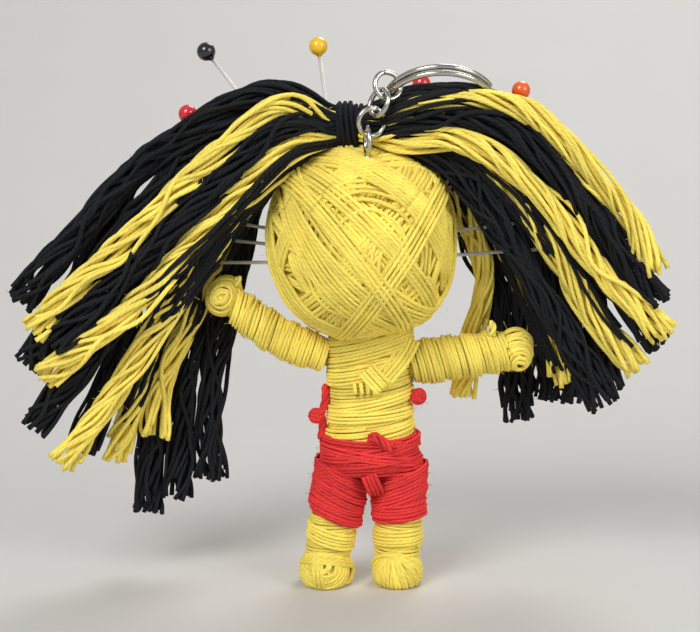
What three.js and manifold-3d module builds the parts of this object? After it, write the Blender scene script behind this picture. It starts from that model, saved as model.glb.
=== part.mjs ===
// String doll wound from yarn, with cord hair, ball-head pins and a key chain
import * as THREE from "three";
import { mergeVertices } from "three/addons/utils/BufferGeometryUtils.js";
import Module from "manifold-3d";

const wasm = await Module();
wasm.setup();

// Fits, in millimetres
const FIT_GAP = 0.3;
const CORD_GAP = 0.35;
const WELD = 0.0001;
const TURN = Math.PI * 2;
const FAR = 400;

// Fineness of the round shapes
const BALL_SIDES = 24;
const BALL_ROWS = 12;
const LIMB_SIDES = 16;
const BORE_SIDES = 8;
const PIN_SIDES = 10;
const PIN_BALL_ROWS = 6;
const DOME_ROWS = 3;
const RING_SIDES = 7;
const RING_STEPS = 20;
const SPLIT_STEPS = 30;
const YARN_SIDES = 5;
const CORD_SIDES = 6;
const CORD_STEPS_PER_SPAN = 1.5;
const CORD_PROBES_PER_SPAN = 12;

// Colours of yarn, foam and metal
const YELLOW = 0xe2c452;
const BLACK = 0x141518;
const RED = 0xc9252f;
const FOAM = 0xe9e4d6;
const STEEL = 0xc4c6c8;
const WIRE_GREY = 0x8f9194;
const BALL_BLACK = 0x101113;
const BALL_YELLOW = 0xf2c41f;
const BALL_RED = 0xd8262e;
const BALL_ORANGE = 0xf0631a;
const YARN_ROUGHNESS = 0.9;
const BEAD_ROUGHNESS = 0.2;
const METAL_ROUGHNESS = 0.25;
const WIRE_ROUGHNESS = 0.4;

// Yarn of the wound body
const YARN = 1.1;
const YARN_RADIUS = YARN / 2;
const YARN_PITCH = 1.6;
const TIE_YARN = 0.9;
const TIE_PITCH = 1.36;

// Head
const HEAD_CENTRE = new THREE.Vector3(-0.9, 0, 76.1);
const HEAD_RADIUS = 21.15;
const HEAD_YARN_LAYER = 4.07;
const HEAD_BAND_LOOPS = 3;
const HEAD_BAND_STEPS = 28;
const HEAD_BAND_SLACK = 0.45;
const HEAD_BAND_SINK = 0.13;
const HEAD_BAND_LIFT = YARN + HEAD_BAND_SLACK;
const HEAD_OUTER_BAND = HEAD_RADIUS - YARN_RADIUS - HEAD_BAND_SINK;
const HEAD_INNER_BAND = HEAD_OUTER_BAND - HEAD_BAND_LIFT;
const HEAD_YARN_RADIUS = HEAD_INNER_BAND - YARN_RADIUS - FIT_GAP;
const HEAD_FOAM_RADIUS = HEAD_YARN_RADIUS - HEAD_YARN_LAYER;
const INNER_BAND_RISE = 52;
const OUTER_BAND_RISE = 158;

// Torso, as radius and height of its profile, flattened front to back
const TORSO_X = 1.2;
const TORSO_FLAT = 0.74;
const TORSO_PROFILE = [
  [0, 25.8], [7.4, 25.8], [9.2, 27], [9.5, 30], [9.3, 33.4], [8.5, 35],
  [8.3, 39], [8.4, 44], [8.6, 50], [8.5, 55], [8, 58], [0, 60],
];
const WAIST_LOOPS = 4;
const WAIST_START = 27;
const CHEST_LOOPS = 6;
const CHEST_START = 35.6;
const BODY_STEPS = 16;

// Sash, as turn round the body in degrees and height
const SASH_RADIUS = 1.1;
const SASH_SIDES = 6;
const SASH_ROUTE = [
  [-17, 42.3], [0, 42.2], [30, 41.6], [60, 41], [90, 40.8], [120, 41.2],
  [150, 42.4], [172, 43.2], [186, 42.6], [190, 40.4], [189, 38], [187, 36],
];
const SASH_STEPS = 26;
const SASH_SLACK = 1.06;

// Armature wires
const WIRE_RADIUS = 0.6;
const SPINE_BOTTOM = 29;
const SPINE_TOP = 68;
const ARM_WIRE_ROOT = 5;
const LEG_WIRE_TOP = 31;
const LEG_WIRE_BOTTOM = 3;

// Arms, from the shoulder's turning point to the middle of the hand
const ARM_STEPS = 10;
const HAND_FLAT = 0.76;
const ARMS = [
  {
    side: "left",
    shoulder: [-8.7, 0, 50.9],
    hand: [-30.6, 0, 63.9],
    rootRadius: 4.1,
    wristRadius: 3.7,
    handSize: [5.1, 4.5, 4.2],
    windStart: 2.8,
    loops: 11,
  },
  {
    side: "right",
    shoulder: [9.8, 0, 49.3],
    hand: [33, 0, 52.2],
    rootRadius: 4.9,
    wristRadius: 4.5,
    handSize: [5.3, 4.5, 4.1],
    windStart: 3.4,
    loops: 9,
  },
];

// Legs, from the hip to the ankle
const LEG_STEPS = 12;
const LEG_TOP = 25.4;
const THIGH_LENGTH = 9;
const THIGH_START = 1.4;
const THIGH_LOOPS = 4;
const SHIN_START = 10.6;
const SHIN_LOOPS = 3;
const KNEE_STEP = 1;
const LEGS = [
  {
    side: "left",
    hip: [-5, 0, 25.4],
    ankle: [-8.5, 0, 5],
    thighRadius: 6.35,
    shinRadius: 5.35,
    foot: [-8.7, -0.8, 3],
    footSize: [6.2, 7.4, 5.5],
  },
  {
    side: "right",
    hip: [7.8, 0, 25.4],
    ankle: [7.1, 0, 5],
    thighRadius: 6.2,
    shinRadius: 5.35,
    foot: [7.2, -0.8, 3],
    footSize: [5.9, 7.2, 5.5],
  },
];

// Ball-head pins, each by its tip in the head and the way it was pushed in
const PIN_BALL = 4;
const PIN_SHAFT = 0.8;
const PIN_REACH = 36;
const PIN_POINT = 2.5;
const PINS = [
  { name: "pin_black_top", colour: BALL_BLACK, tip: [-11.69, 0, 88.17], aim: [0.617, 0, -0.787], push: 3 },
  { name: "pin_yellow_top", colour: BALL_YELLOW, tip: [-5.39, 0, 81.9], aim: [0.128, 0, -0.992], push: 3 },
  { name: "pin_red_top_left", colour: BALL_RED, tip: [-8.37, 0, 82.85], aim: [0.823, 0, -0.568], push: 0 },
  { name: "pin_red_top_right", colour: BALL_RED, tip: [-1.09, 5, 76.14], aim: [-0.369, 0, -0.929], push: 0 },
  { name: "pin_orange_top", colour: BALL_ORANGE, tip: [10.81, 0, 80.19], aim: [-0.625, 0, -0.781], push: 0 },
  { name: "pin_red_side_right", colour: BALL_RED, tip: [-10.7, 2, 73.4], aim: [-0.9, 0, -0.436], push: 0 },
  { name: "pin_side_left_1", colour: BALL_YELLOW, tip: [-6.39, 0, 76.29], aim: [0.986, 0, -0.164], push: 0 },
  { name: "pin_side_left_2", colour: BALL_BLACK, tip: [-1.3, 0, 73.22], aim: [0.9945, 0, -0.105], push: 0 },
  { name: "pin_side_left_3", colour: BALL_ORANGE, tip: [-5, 0, 71.3], aim: [1, 0, 0], push: 0 },
  { name: "pin_side_right_1", colour: BALL_YELLOW, tip: [1.38, 0, 75.93], aim: [-0.992, 0, -0.124], push: 0 },
  { name: "pin_side_right_2", colour: BALL_BLACK, tip: [4.49, 0, 71.84], aim: [-0.9975, 0, -0.071], push: 0 },
];
const PIN_PULL = 18;

// Chain: eye, jump rings and split ring, which is held by the last jump ring and lies off to one side
const LINK_RADIUS = 2.9;
const LINK_WIRE = 0.55;
const EYE_CENTRE = [0.4, -9.7, 97.9];
const EYE_FACE = [0.992, 0.126, 0];
const EYE_SHANK_RADIUS = 0.75;
const EYE_SHANK_LENGTH = 14;
const LINKS = [
  { name: "jump_ring_1", centre: [1.3, -9.72, 101.87], face: [0.314, -0.941, -0.128] },
  { name: "jump_ring_2", centre: [2.78, -9.7, 105.9], face: [-0.751, -0.579, 0.319] },
  { name: "jump_ring_3", centre: [4.65, -8.74, 109.42], face: [0.367, -0.886, 0.284] },
];
const SPLIT_HELD = [5.7136, -8.6608, 109.1738];
const SPLIT_WAY = [0.848, 0.406, -0.341];
const SPLIT_FACE = [0, -0.6428, -0.766];
const SPLIT_RADIUS = 11.8;
const SPLIT_WIRE = 0.6;
const SPLIT_HALF_PITCH = 0.825;
const SPLIT_START = 0;
const SPLIT_CLEAR = 28;
const SPLIT_CROSS = 40;

// Hair tie and hair cords
const TIE_RISE = 3.05;
const TIE_CENTRE = [-3.5, 0, HEAD_CENTRE.z + HEAD_RADIUS + TIE_RISE];
const TIE_LOOPS = 4;
const TIE_STEPS = 14;
const TIE_BUNDLE = 4.25;
const CORD_RADIUS = 2.1;
const CORD_LEAST = 0.55;
const FLARE = 0.2;
const TIE_STRAIGHT = 2.9;
const CROWN_REACH = 9;
const HAIR_CORDS = [
  {
    name: "hair_cord_front_1",
    colour: YELLOW,
    slot: [-2.85, 1.9],
    left: [
      [-71.1, -9.5, 58.3], [-55.4, -9.5, 72.4], [-39.1, -9.5, 87.6], [-27.2, -9.5, 98.5],
      [-17.4, -9.5, 105.7],
    ],
    right: [
      [4.2, -6.7, 102.0], [10.5, -9.3, 104.6], [20.7, -9.5, 107.0], [31.1, -9.5, 105.7],
      [42.4, -9.5, 97.4], [55.4, -9.5, 82.2], [60.9, -9.5, 70.2],
    ],
  },
  {
    name: "hair_cord_front_2",
    colour: BLACK,
    slot: [-2.85, 0],
    left: [
      [-66.3, -9.5, 55.0], [-54.3, -9.5, 66.5], [-40.2, -9.5, 79.6], [-27.8, -9.5, 91.8],
      [-17.0, -9.5, 101.1],
    ],
    right: [
      [4.2, -6.7, 99.6], [10.5, -9.5, 101.2], [20.0, -9.5, 102.6], [30.4, -9.5, 99.6],
      [41.3, -9.5, 90.2], [52.2, -9.5, 76.1], [62.4, -9.5, 64.2],
    ],
  },
  {
    name: "hair_cord_front_3",
    colour: YELLOW,
    slot: [-2.85, -1.9],
    left: [
      [-68.5, -9.5, 47.9], [-53.3, -9.5, 59.4], [-38.0, -9.5, 74.6], [-25.0, -9.5, 88.7],
      [-15.7, -9.5, 97.0],
    ],
    right: [
      [4.2, -6.5, 97.3], [10.5, -9.5, 97.7], [18.5, -9.5, 98.5], [29.3, -9.5, 93.1],
      [39.8, -9.5, 83.1], [50.0, -9.5, 70.2], [64.1, -9.5, 57.2],
    ],
  },
  {
    name: "hair_cord_upper_1",
    colour: BLACK,
    slot: [-0.95, 2.85],
    left: [
      [-73.9, -5, 63.5], [-61.5, -5, 77.7], [-48.9, -5, 92.2], [-34.1, -5, 101.4],
      [-27.2, -5, 105.0], [-19.6, -5, 107.7],
    ],
    right: [
      [5.5, 0.6, 104.6], [10.0, 1.8, 106.0], [15.5, 3.4, 106.6], [23.9, 4.8, 105.8],
      [38.0, 4.8, 99.1], [48.9, 4.8, 87.2], [55.0, 4.8, 73.7], [59.8, 4.8, 62.8],
    ],
  },
  {
    name: "hair_cord_upper_2",
    colour: BLACK,
    slot: [-0.95, 0.95],
    left: [
      [-72.4, -5, 50.0], [-58.7, -5, 68.5], [-45.7, -5, 84.8], [-32.6, -5, 96.8],
      [-19.1, -5, 102.9],
    ],
    right: [
      [4.2, -4.3, 101.6], [10.5, -5, 101.9], [20.2, -5, 101.1], [33.7, -5, 92.0], [46.7, -5, 77.2],
      [55.9, -5, 63.1], [63.0, -5, 54.4],
    ],
  },
  {
    name: "hair_cord_upper_3",
    colour: BLACK,
    slot: [-0.95, -0.95],
    left: [
      [-72.0, -5, 36.4], [-64.1, -5, 45.7], [-53.3, -5, 60.9], [-41.3, -5, 76.1],
      [-29.8, -5, 89.8], [-18.5, -5, 97.9],
    ],
    right: [
      [2.2, -1.2, 98.4], [5.0, -2.7, 97.2], [10.5, -5, 95.8], [18.5, -5, 92.4], [27.6, -5, 81.1],
      [38.0, -5, 64.2], [46.3, -5, 51.1], [51.7, -5, 41.4],
    ],
  },
  {
    name: "hair_cord_upper_4",
    colour: YELLOW,
    slot: [-0.95, -2.85],
    left: [
      [-65.9, -5, 28.3], [-56.5, -5, 40.3], [-45.7, -5, 56.6], [-34.8, -5, 71.8],
      [-26.1, -5, 84.2], [-17.6, -5, 92.9],
    ],
    right: [
      [2.2, -3.6, 98.5], [5.0, -4.6, 99.3], [10.5, -5, 98.9], [18.9, -5, 96.8], [31.1, -5, 86.6],
      [42.4, -5, 71.1], [51.5, -5, 57.7], [58.9, -5, 49.4],
    ],
  },
  {
    name: "hair_cord_lower_1",
    colour: BLACK,
    slot: [0.95, 2.85],
    left: [
      [-68.5, 5, 58.0], [-62.0, 5, 67.1], [-56.5, 5, 79.7], [-50.2, 5, 90.6], [-35.9, 5, 100.0],
      [-27.2, 5, 104.7], [-20.7, 5, 106.9],
    ],
    right: [
      [8.7, 9, 103.5], [21.7, 9, 102.2], [35.9, 9, 92.7], [46.3, 9, 76.3], [51.7, 9, 57.9],
      [54.3, 9, 42.2],
    ],
  },
  {
    name: "hair_cord_lower_2",
    colour: BLACK,
    slot: [0.95, 0.95],
    left: [
      [-63.0, 5, 29.1], [-55.4, 5, 47.6], [-50.0, 5, 65.0], [-43.5, 5, 82.3], [-32.0, 5, 95.8],
      [-19.6, 5, 102.3],
    ],
    right: [
      [8.9, 9, 100.3], [20.2, 9, 97.0], [32.0, 9, 85.5], [41.3, 9, 68.7], [46.7, 9, 52.4],
      [48.9, 9, 40.0],
    ],
  },
  {
    name: "hair_cord_lower_3",
    colour: YELLOW,
    slot: [0.95, -0.95],
    left: [
      [-55.9, 5, 26.9], [-50.0, 5, 43.2], [-44.6, 5, 60.6], [-38.0, 5, 75.8], [-28.9, 5, 89.3],
      [-18.7, 5, 97.6],
    ],
    right: [
      [9.3, 9, 97.2], [18.9, 9, 92.7], [28.0, 9, 80.7], [35.4, 9, 65.5], [41.3, 9, 52.4],
      [45.0, 9, 43.7],
    ],
  },
  {
    name: "hair_cord_lower_4",
    colour: YELLOW,
    slot: [0.95, -2.85],
    left: [
      [-46.7, 5, 32.3], [-45.0, 5, 43.2], [-39.1, 5, 56.3], [-32.8, 5, 70.4], [-25.9, 5, 83.6],
      [-17.6, 5, 92.6],
    ],
    right: [
      [9.8, 9, 95.5], [17.4, 9, 88.7], [23.7, 9, 77.4], [26.7, 9, 65.5], [24.1, 9, 54.6],
      [22.0, 9, 40.5],
    ],
  },
  {
    name: "hair_cord_rear_1",
    colour: BLACK,
    slot: [2.85, 1.9],
    left: [
      [-48.9, 9.5, 14.3], [-46.7, 9.5, 40.4], [-43.5, 9.5, 60.0], [-39.1, 9.5, 78.5],
      [-30.7, 9.5, 94.8], [-19.1, 9.5, 103.0],
    ],
    right: [
      [8.7, 13.5, 101.2], [21.1, 13.5, 97.2], [33.0, 13.5, 85.9], [40.9, 13.5, 70.3],
      [44.6, 13.5, 52.9], [42.8, 13.5, 38.8],
    ],
  },
  {
    name: "hair_cord_rear_2",
    colour: BLACK,
    slot: [2.85, 0],
    left: [
      [-42.4, 9.5, 17.6], [-40.7, 9.5, 38.2], [-38.0, 9.5, 55.6], [-34.3, 9.5, 73.0],
      [-27.6, 9.5, 89.3], [-18.3, 9.5, 98.2],
    ],
    right: [
      [9.1, 13.5, 97.5], [19.1, 13.5, 91.6], [28.0, 13.5, 79.4], [34.1, 13.5, 63.8],
      [38.0, 13.5, 50.7], [39.1, 13.5, 39.8],
    ],
  },
  {
    name: "hair_cord_rear_3",
    colour: BLACK,
    slot: [2.85, -1.9],
    left: [
      [-34.6, 9.5, 21.9], [-34.6, 9.5, 38.2], [-32.6, 9.5, 53.5], [-29.3, 9.5, 68.7],
      [-24.6, 9.5, 83.9], [-17.2, 9.5, 93.2],
    ],
    right: [
      [9.6, 13.5, 93.8], [17.4, 13.5, 86.4], [24.3, 13.5, 74.6], [29.3, 13.5, 61.6],
      [32.6, 13.5, 47.5], [34.8, 13.5, 34.4],
    ],
  },
];

// Small helpers
const vec = (list) => new THREE.Vector3(list[0], list[1], list[2]);
const UP = new THREE.Vector3(0, 0, 1);
const rad = (degrees) => THREE.MathUtils.degToRad(degrees);

function solidOf(geometry) {
  const plain = geometry.clone();
  plain.deleteAttribute("normal");
  plain.deleteAttribute("uv");
  const merged = mergeVertices(plain, WELD);
  const corners = Array.from(merged.index.array);
  const kept = [];
  for (let i = 0; i < corners.length; i += 3) {
    const [a, b, c] = corners.slice(i, i + 3);
    if (a !== b && b !== c && c !== a) {
      kept.push(a, b, c);
    }
  }
  return new wasm.Manifold(
    new wasm.Mesh({
      numProp: 3,
      vertProperties: Float32Array.from(merged.attributes.position.array),
      triVerts: Uint32Array.from(kept),
    }),
  );
}

function geometryOf(solid) {
  const mesh = solid.getMesh();
  const geometry = new THREE.BufferGeometry();
  geometry.setAttribute("position", new THREE.BufferAttribute(Float32Array.from(mesh.vertProperties), 3));
  geometry.setIndex(new THREE.BufferAttribute(Uint32Array.from(mesh.triVerts), 1));
  geometry.computeVertexNormals();
  return geometry;
}

function cut(solid, tools) {
  return tools.reduce((left, tool) => left.subtract(tool), solid);
}

function placement(origin, axis) {
  const turn = new THREE.Quaternion().setFromUnitVectors(UP, axis.clone().normalize());
  return new THREE.Matrix4().compose(origin, turn, new THREE.Vector3(1, 1, 1));
}

function lathe(profile, sides) {
  const points = profile.map(([radius, height]) => new THREE.Vector2(radius, height));
  return new THREE.LatheGeometry(points, sides).rotateX(Math.PI / 2);
}

function rod(from, to, radius, sides) {
  const reach = to.clone().sub(from);
  const profile = [[0, 0], [radius, 0], [radius, reach.length()], [0, reach.length()]];
  return lathe(profile, sides).applyMatrix4(placement(from, reach));
}

function ball(centre, size, sides, rows) {
  return new THREE.SphereGeometry(1, sides, rows)
    .rotateX(Math.PI / 2)
    .scale(size[0], size[1], size[2])
    .translate(centre.x, centre.y, centre.z);
}

function block(low, high) {
  const size = high.clone().sub(low);
  const middle = high.clone().add(low).multiplyScalar(0.5);
  return new THREE.BoxGeometry(size.x, size.y, size.z).translate(middle.x, middle.y, middle.z);
}

function sideways(direction) {
  const guide = Math.abs(direction.z) < 0.9 ? UP : new THREE.Vector3(1, 0, 0);
  return guide.clone().cross(direction).normalize();
}

// A closed tube along points, with its own radius at each point
function tube(points, radii, sides) {
  const tangents = points.map((point, i) => {
    const before = points[Math.max(i - 1, 0)];
    const after = points[Math.min(i + 1, points.length - 1)];
    return after.clone().sub(before).normalize();
  });
  const positions = [];
  const index = [];
  let across = sideways(tangents[0]);
  points.forEach((point, i) => {
    across = across.clone().addScaledVector(tangents[i], -across.dot(tangents[i])).normalize();
    const beside = tangents[i].clone().cross(across);
    for (let k = 0; k < sides; k += 1) {
      const angle = (TURN * k) / sides;
      const spot = point.clone();
      spot.addScaledVector(across, radii[i] * Math.cos(angle));
      spot.addScaledVector(beside, radii[i] * Math.sin(angle));
      positions.push(spot.x, spot.y, spot.z);
    }
  });
  for (let i = 0; i + 1 < points.length; i += 1) {
    for (let k = 0; k < sides; k += 1) {
      const a = i * sides + k;
      const b = i * sides + ((k + 1) % sides);
      index.push(a, b, b + sides, a, b + sides, a + sides);
    }
  }
  const last = points.length - 1;
  const startCap = points.length * sides;
  const endCap = startCap + 1;
  positions.push(points[0].x, points[0].y, points[0].z);
  positions.push(points[last].x, points[last].y, points[last].z);
  for (let k = 0; k < sides; k += 1) {
    const next = (k + 1) % sides;
    index.push(startCap, next, k);
    index.push(endCap, last * sides + k, last * sides + next);
  }
  const geometry = new THREE.BufferGeometry();
  geometry.setAttribute("position", new THREE.Float32BufferAttribute(positions, 3));
  geometry.setIndex(index);
  return geometry;
}

function evenTube(points, radius, sides) {
  return tube(points, points.map(() => radius), sides);
}

// Both ends of a winding run on straight by one thickness of yarn
function withStraightEnds(points, length) {
  const first = points[0].clone().addScaledVector(points[0].clone().sub(points[1]).normalize(), length);
  const end = points[points.length - 1];
  const before = points[points.length - 2];
  const last = end.clone().addScaledVector(end.clone().sub(before).normalize(), length);
  return [first, ...points, last];
}

// Points of a winding round an upright axis: reach gives both half widths at a height
function coil(start, pitch, loops, steps, reach) {
  const points = [];
  const stretch = 1 / Math.cos(Math.PI / steps);
  for (let i = 0; i <= loops * steps; i += 1) {
    const angle = (TURN * i) / steps;
    const height = start + (pitch * i) / steps;
    const [wide, deep] = reach(height);
    points.push(
      new THREE.Vector3(wide * stretch * Math.cos(angle), deep * stretch * Math.sin(angle), height),
    );
  }
  return points;
}

// Least clear distance of a winding from itself
function selfGap(points, thickness) {
  const lengths = [0];
  for (let i = 1; i < points.length; i += 1) {
    lengths.push(lengths[i - 1] + points[i].distanceTo(points[i - 1]));
  }
  let least = Infinity;
  const segment = new THREE.Line3();
  const nearest = new THREE.Vector3();
  for (let i = 0; i < points.length; i += 1) {
    for (let k = 0; k + 1 < points.length; k += 1) {
      const apart = Math.min(Math.abs(lengths[i] - lengths[k]), Math.abs(lengths[i] - lengths[k + 1]));
      if (apart > thickness * 4) {
        segment.set(points[k], points[k + 1]);
        segment.closestPointToPoint(points[i], true, nearest);
        least = Math.min(least, nearest.distanceTo(points[i]));
      }
    }
  }
  return least - thickness;
}

const pieces = [];
function add(name, solid, colour, roughness, metalness) {
  const material = new THREE.MeshStandardMaterial({ color: colour, roughness, metalness });
  const mesh = new THREE.Mesh(geometryOf(solid), material);
  mesh.name = name;
  pieces.push(mesh);
}
const addYarn = (name, solid, colour) => add(name, solid, colour, YARN_ROUGHNESS, 0);
const addMetal = (name, solid) => add(name, solid, STEEL, METAL_ROUGHNESS, 1);

function addWinding(name, points, thickness, colour, matrix) {
  const whole = withStraightEnds(points, thickness);
  console.log(`${name}: least gap ${selfGap(whole, thickness).toFixed(2)} mm`);
  if (matrix) {
    whole.forEach((point) => point.applyMatrix4(matrix));
  }
  addYarn(name, solidOf(evenTube(whole, thickness / 2, YARN_SIDES)), colour);
}

// Pins: where each tip is, and the body of one pin
PINS.forEach((pin) => {
  pin.aim = vec(pin.aim).normalize();
  pin.tip = vec(pin.tip);
  pin.ball = pin.tip.clone().addScaledVector(pin.aim, -PIN_REACH);
});

function pinBody(pin) {
  const shaft = PIN_SHAFT / 2;
  const round = PIN_BALL / 2;
  const profile = [[0, 0], [shaft, PIN_POINT]];
  const startAngle = Math.asin(shaft / round);
  for (let i = 0; i <= PIN_BALL_ROWS; i += 1) {
    const angle = startAngle + ((Math.PI - startAngle) * i) / PIN_BALL_ROWS;
    const width = i === PIN_BALL_ROWS ? 0 : round * Math.sin(angle);
    profile.push([width, PIN_REACH - round * Math.cos(angle)]);
  }
  return lathe(profile, PIN_SIDES).applyMatrix4(placement(pin.tip, pin.aim.clone().negate()));
}

function pinBore(pin) {
  const deep = pin.tip.clone().addScaledVector(pin.aim, pin.push + FIT_GAP);
  return solidOf(rod(deep, pin.ball, PIN_SHAFT / 2 + FIT_GAP, BORE_SIDES));
}

// Armature wires and their bores
const spineLow = new THREE.Vector3(TORSO_X, 0, SPINE_BOTTOM);
const spineHigh = new THREE.Vector3(TORSO_X, 0, SPINE_TOP);

function wire(from, to) {
  return solidOf(rod(from, to, WIRE_RADIUS, BORE_SIDES));
}

function wireBore(from, to) {
  const along = to.clone().sub(from).normalize();
  const low = from.clone().addScaledVector(along, -FIT_GAP);
  const high = to.clone().addScaledVector(along, FIT_GAP);
  return solidOf(rod(low, high, WIRE_RADIUS + FIT_GAP, BORE_SIDES));
}

ARMS.forEach((arm) => {
  arm.root = vec(arm.shoulder);
  arm.end = vec(arm.hand);
  arm.axis = arm.end.clone().sub(arm.root).normalize();
  arm.length = arm.end.distanceTo(arm.root);
  const bulge = 1 / Math.cos(Math.PI / ARM_STEPS);
  arm.coreRoot = (arm.rootRadius - YARN_RADIUS) / bulge - YARN_RADIUS - FIT_GAP;
  arm.coreWrist = (arm.wristRadius - YARN_RADIUS) / bulge - YARN_RADIUS - FIT_GAP;
  arm.cutAt = arm.length - arm.handSize[2] * HAND_FLAT;
  arm.coreEnd = arm.cutAt - FIT_GAP;
  arm.wireLow = arm.root.clone().addScaledVector(arm.axis, -ARM_WIRE_ROOT);
  arm.frame = placement(arm.root, arm.axis);
});

LEGS.forEach((leg) => {
  leg.top = vec(leg.hip);
  leg.bottom = vec(leg.ankle);
  leg.axis = leg.bottom.clone().sub(leg.top).normalize();
  leg.length = leg.bottom.distanceTo(leg.top);
  const bulge = 1 / Math.cos(Math.PI / LEG_STEPS);
  leg.coreThigh = (leg.thighRadius - YARN_RADIUS) / bulge - YARN_RADIUS - FIT_GAP;
  leg.coreShin = (leg.shinRadius - YARN_RADIUS) / bulge - YARN_RADIUS - FIT_GAP;
  leg.footCentre = vec(leg.foot);
  const rise = leg.axis.clone().negate();
  leg.wireLow = leg.top.clone().addScaledVector(leg.axis, (LEG_TOP - LEG_WIRE_BOTTOM) / rise.z);
  leg.wireHigh = leg.top.clone().addScaledVector(rise, (LEG_WIRE_TOP - LEG_TOP) / rise.z);
  leg.frame = placement(leg.top, leg.axis);
});

// Screw eye
const eyeCentre = vec(EYE_CENTRE);
const eyeFoot = eyeCentre.clone().addScaledVector(UP, -LINK_RADIUS);
const eyeTip = eyeFoot.clone().addScaledVector(UP, -EYE_SHANK_LENGTH);

function ringBody(centre, face) {
  return new THREE.TorusGeometry(LINK_RADIUS, LINK_WIRE, RING_SIDES, RING_STEPS)
    .applyMatrix4(placement(centre, face));
}

// Head
const headBores = PINS.map(pinBore);
headBores.push(wireBore(spineLow, spineHigh));
const eyeDeep = eyeTip.clone().addScaledVector(UP, -FIT_GAP);
headBores.push(solidOf(rod(eyeDeep, eyeCentre, EYE_SHANK_RADIUS + FIT_GAP, BORE_SIDES)));

function headSphere(radius) {
  return solidOf(ball(HEAD_CENTRE, [radius, radius, radius], BALL_SIDES, BALL_ROWS));
}

add("head_ball", cut(headSphere(HEAD_FOAM_RADIUS), headBores), FOAM, YARN_ROUGHNESS, 0);
addYarn(
  "head_yarn_body",
  cut(headSphere(HEAD_YARN_RADIUS), [headSphere(HEAD_FOAM_RADIUS + FIT_GAP), ...headBores]),
  YELLOW,
);

function headBand(radius, rise) {
  const along = new THREE.Vector3(Math.cos(rad(rise)), 0, Math.sin(rad(rise)));
  const behind = new THREE.Vector3(0, 1, 0);
  const pole = along.clone().cross(behind);
  const points = [];
  const reach = radius / Math.cos(Math.PI / HEAD_BAND_STEPS);
  const count = HEAD_BAND_LOOPS * HEAD_BAND_STEPS;
  for (let i = 0; i <= count; i += 1) {
    const angle = (TURN * i) / HEAD_BAND_STEPS;
    const shift = (YARN_PITCH * (i / HEAD_BAND_STEPS - HEAD_BAND_LOOPS / 2)) / radius;
    const spot = HEAD_CENTRE.clone();
    spot.addScaledVector(along, reach * Math.cos(shift) * Math.cos(angle));
    spot.addScaledVector(behind, reach * Math.cos(shift) * Math.sin(angle));
    spot.addScaledVector(pole, reach * Math.sin(shift));
    points.push(spot);
  }
  return points;
}

addWinding("head_band_inner", headBand(HEAD_INNER_BAND, INNER_BAND_RISE), YARN, YELLOW);
addWinding("head_band_outer", headBand(HEAD_OUTER_BAND, OUTER_BAND_RISE), YARN, YELLOW);

// Torso, its windings and the sash
function torsoRadius(height) {
  for (let i = 1; i < TORSO_PROFILE.length; i += 1) {
    const [radius, level] = TORSO_PROFILE[i];
    const [before, below] = TORSO_PROFILE[i - 1];
    if (height <= level && level > below) {
      const share = (height - below) / (level - below);
      return before + (radius - before) * share;
    }
  }
  return 0;
}

const yarnLift = FIT_GAP + YARN_RADIUS;
const torsoReach = (height) => {
  const around = Math.max(torsoRadius(height - YARN), torsoRadius(height), torsoRadius(height + YARN));
  return [around + yarnLift, around * TORSO_FLAT + yarnLift];
};
const torsoMatrix = new THREE.Matrix4().makeTranslation(TORSO_X, 0, 0);
const sockets = ARMS.map((arm) => {
  const size = arm.coreRoot + FIT_GAP;
  return solidOf(ball(arm.root, [size, size, size], LIMB_SIDES, BALL_ROWS));
});
const torsoBody = solidOf(
  lathe(TORSO_PROFILE, LIMB_SIDES).scale(1, TORSO_FLAT, 1).translate(TORSO_X, 0, 0),
);
const torsoCuts = [
  headSphere(HEAD_YARN_RADIUS + FIT_GAP),
  ...sockets,
  wireBore(spineLow, spineHigh),
  ...ARMS.map((arm) => wireBore(arm.wireLow, arm.end)),
  ...LEGS.map((leg) => wireBore(leg.wireLow, leg.wireHigh)),
];
addYarn("torso_core", cut(torsoBody, torsoCuts), YELLOW);
addWinding("torso_winding", coil(CHEST_START, YARN_PITCH, CHEST_LOOPS, BODY_STEPS, torsoReach), YARN,
  YELLOW, torsoMatrix);
addWinding("shorts_waist_winding", coil(WAIST_START, YARN_PITCH, WAIST_LOOPS, BODY_STEPS, torsoReach),
  YARN, RED, torsoMatrix);
add("spine_wire", wire(spineLow, spineHigh), WIRE_GREY, WIRE_ROUGHNESS, 1);

const sashLift = (YARN + FIT_GAP + SASH_RADIUS) * SASH_SLACK;
const sashPoints = SASH_ROUTE.map(([angle, height]) => {
  const [wide, deep] = torsoReach(height);
  return new THREE.Vector3(
    TORSO_X + (wide + sashLift) * Math.cos(rad(angle)),
    (deep + sashLift) * Math.sin(rad(angle)),
    height,
  );
});
const sashCurve = new THREE.CatmullRomCurve3(sashPoints);
addYarn("sash", solidOf(evenTube(sashCurve.getSpacedPoints(SASH_STEPS), SASH_RADIUS, SASH_SIDES)), RED);

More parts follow.
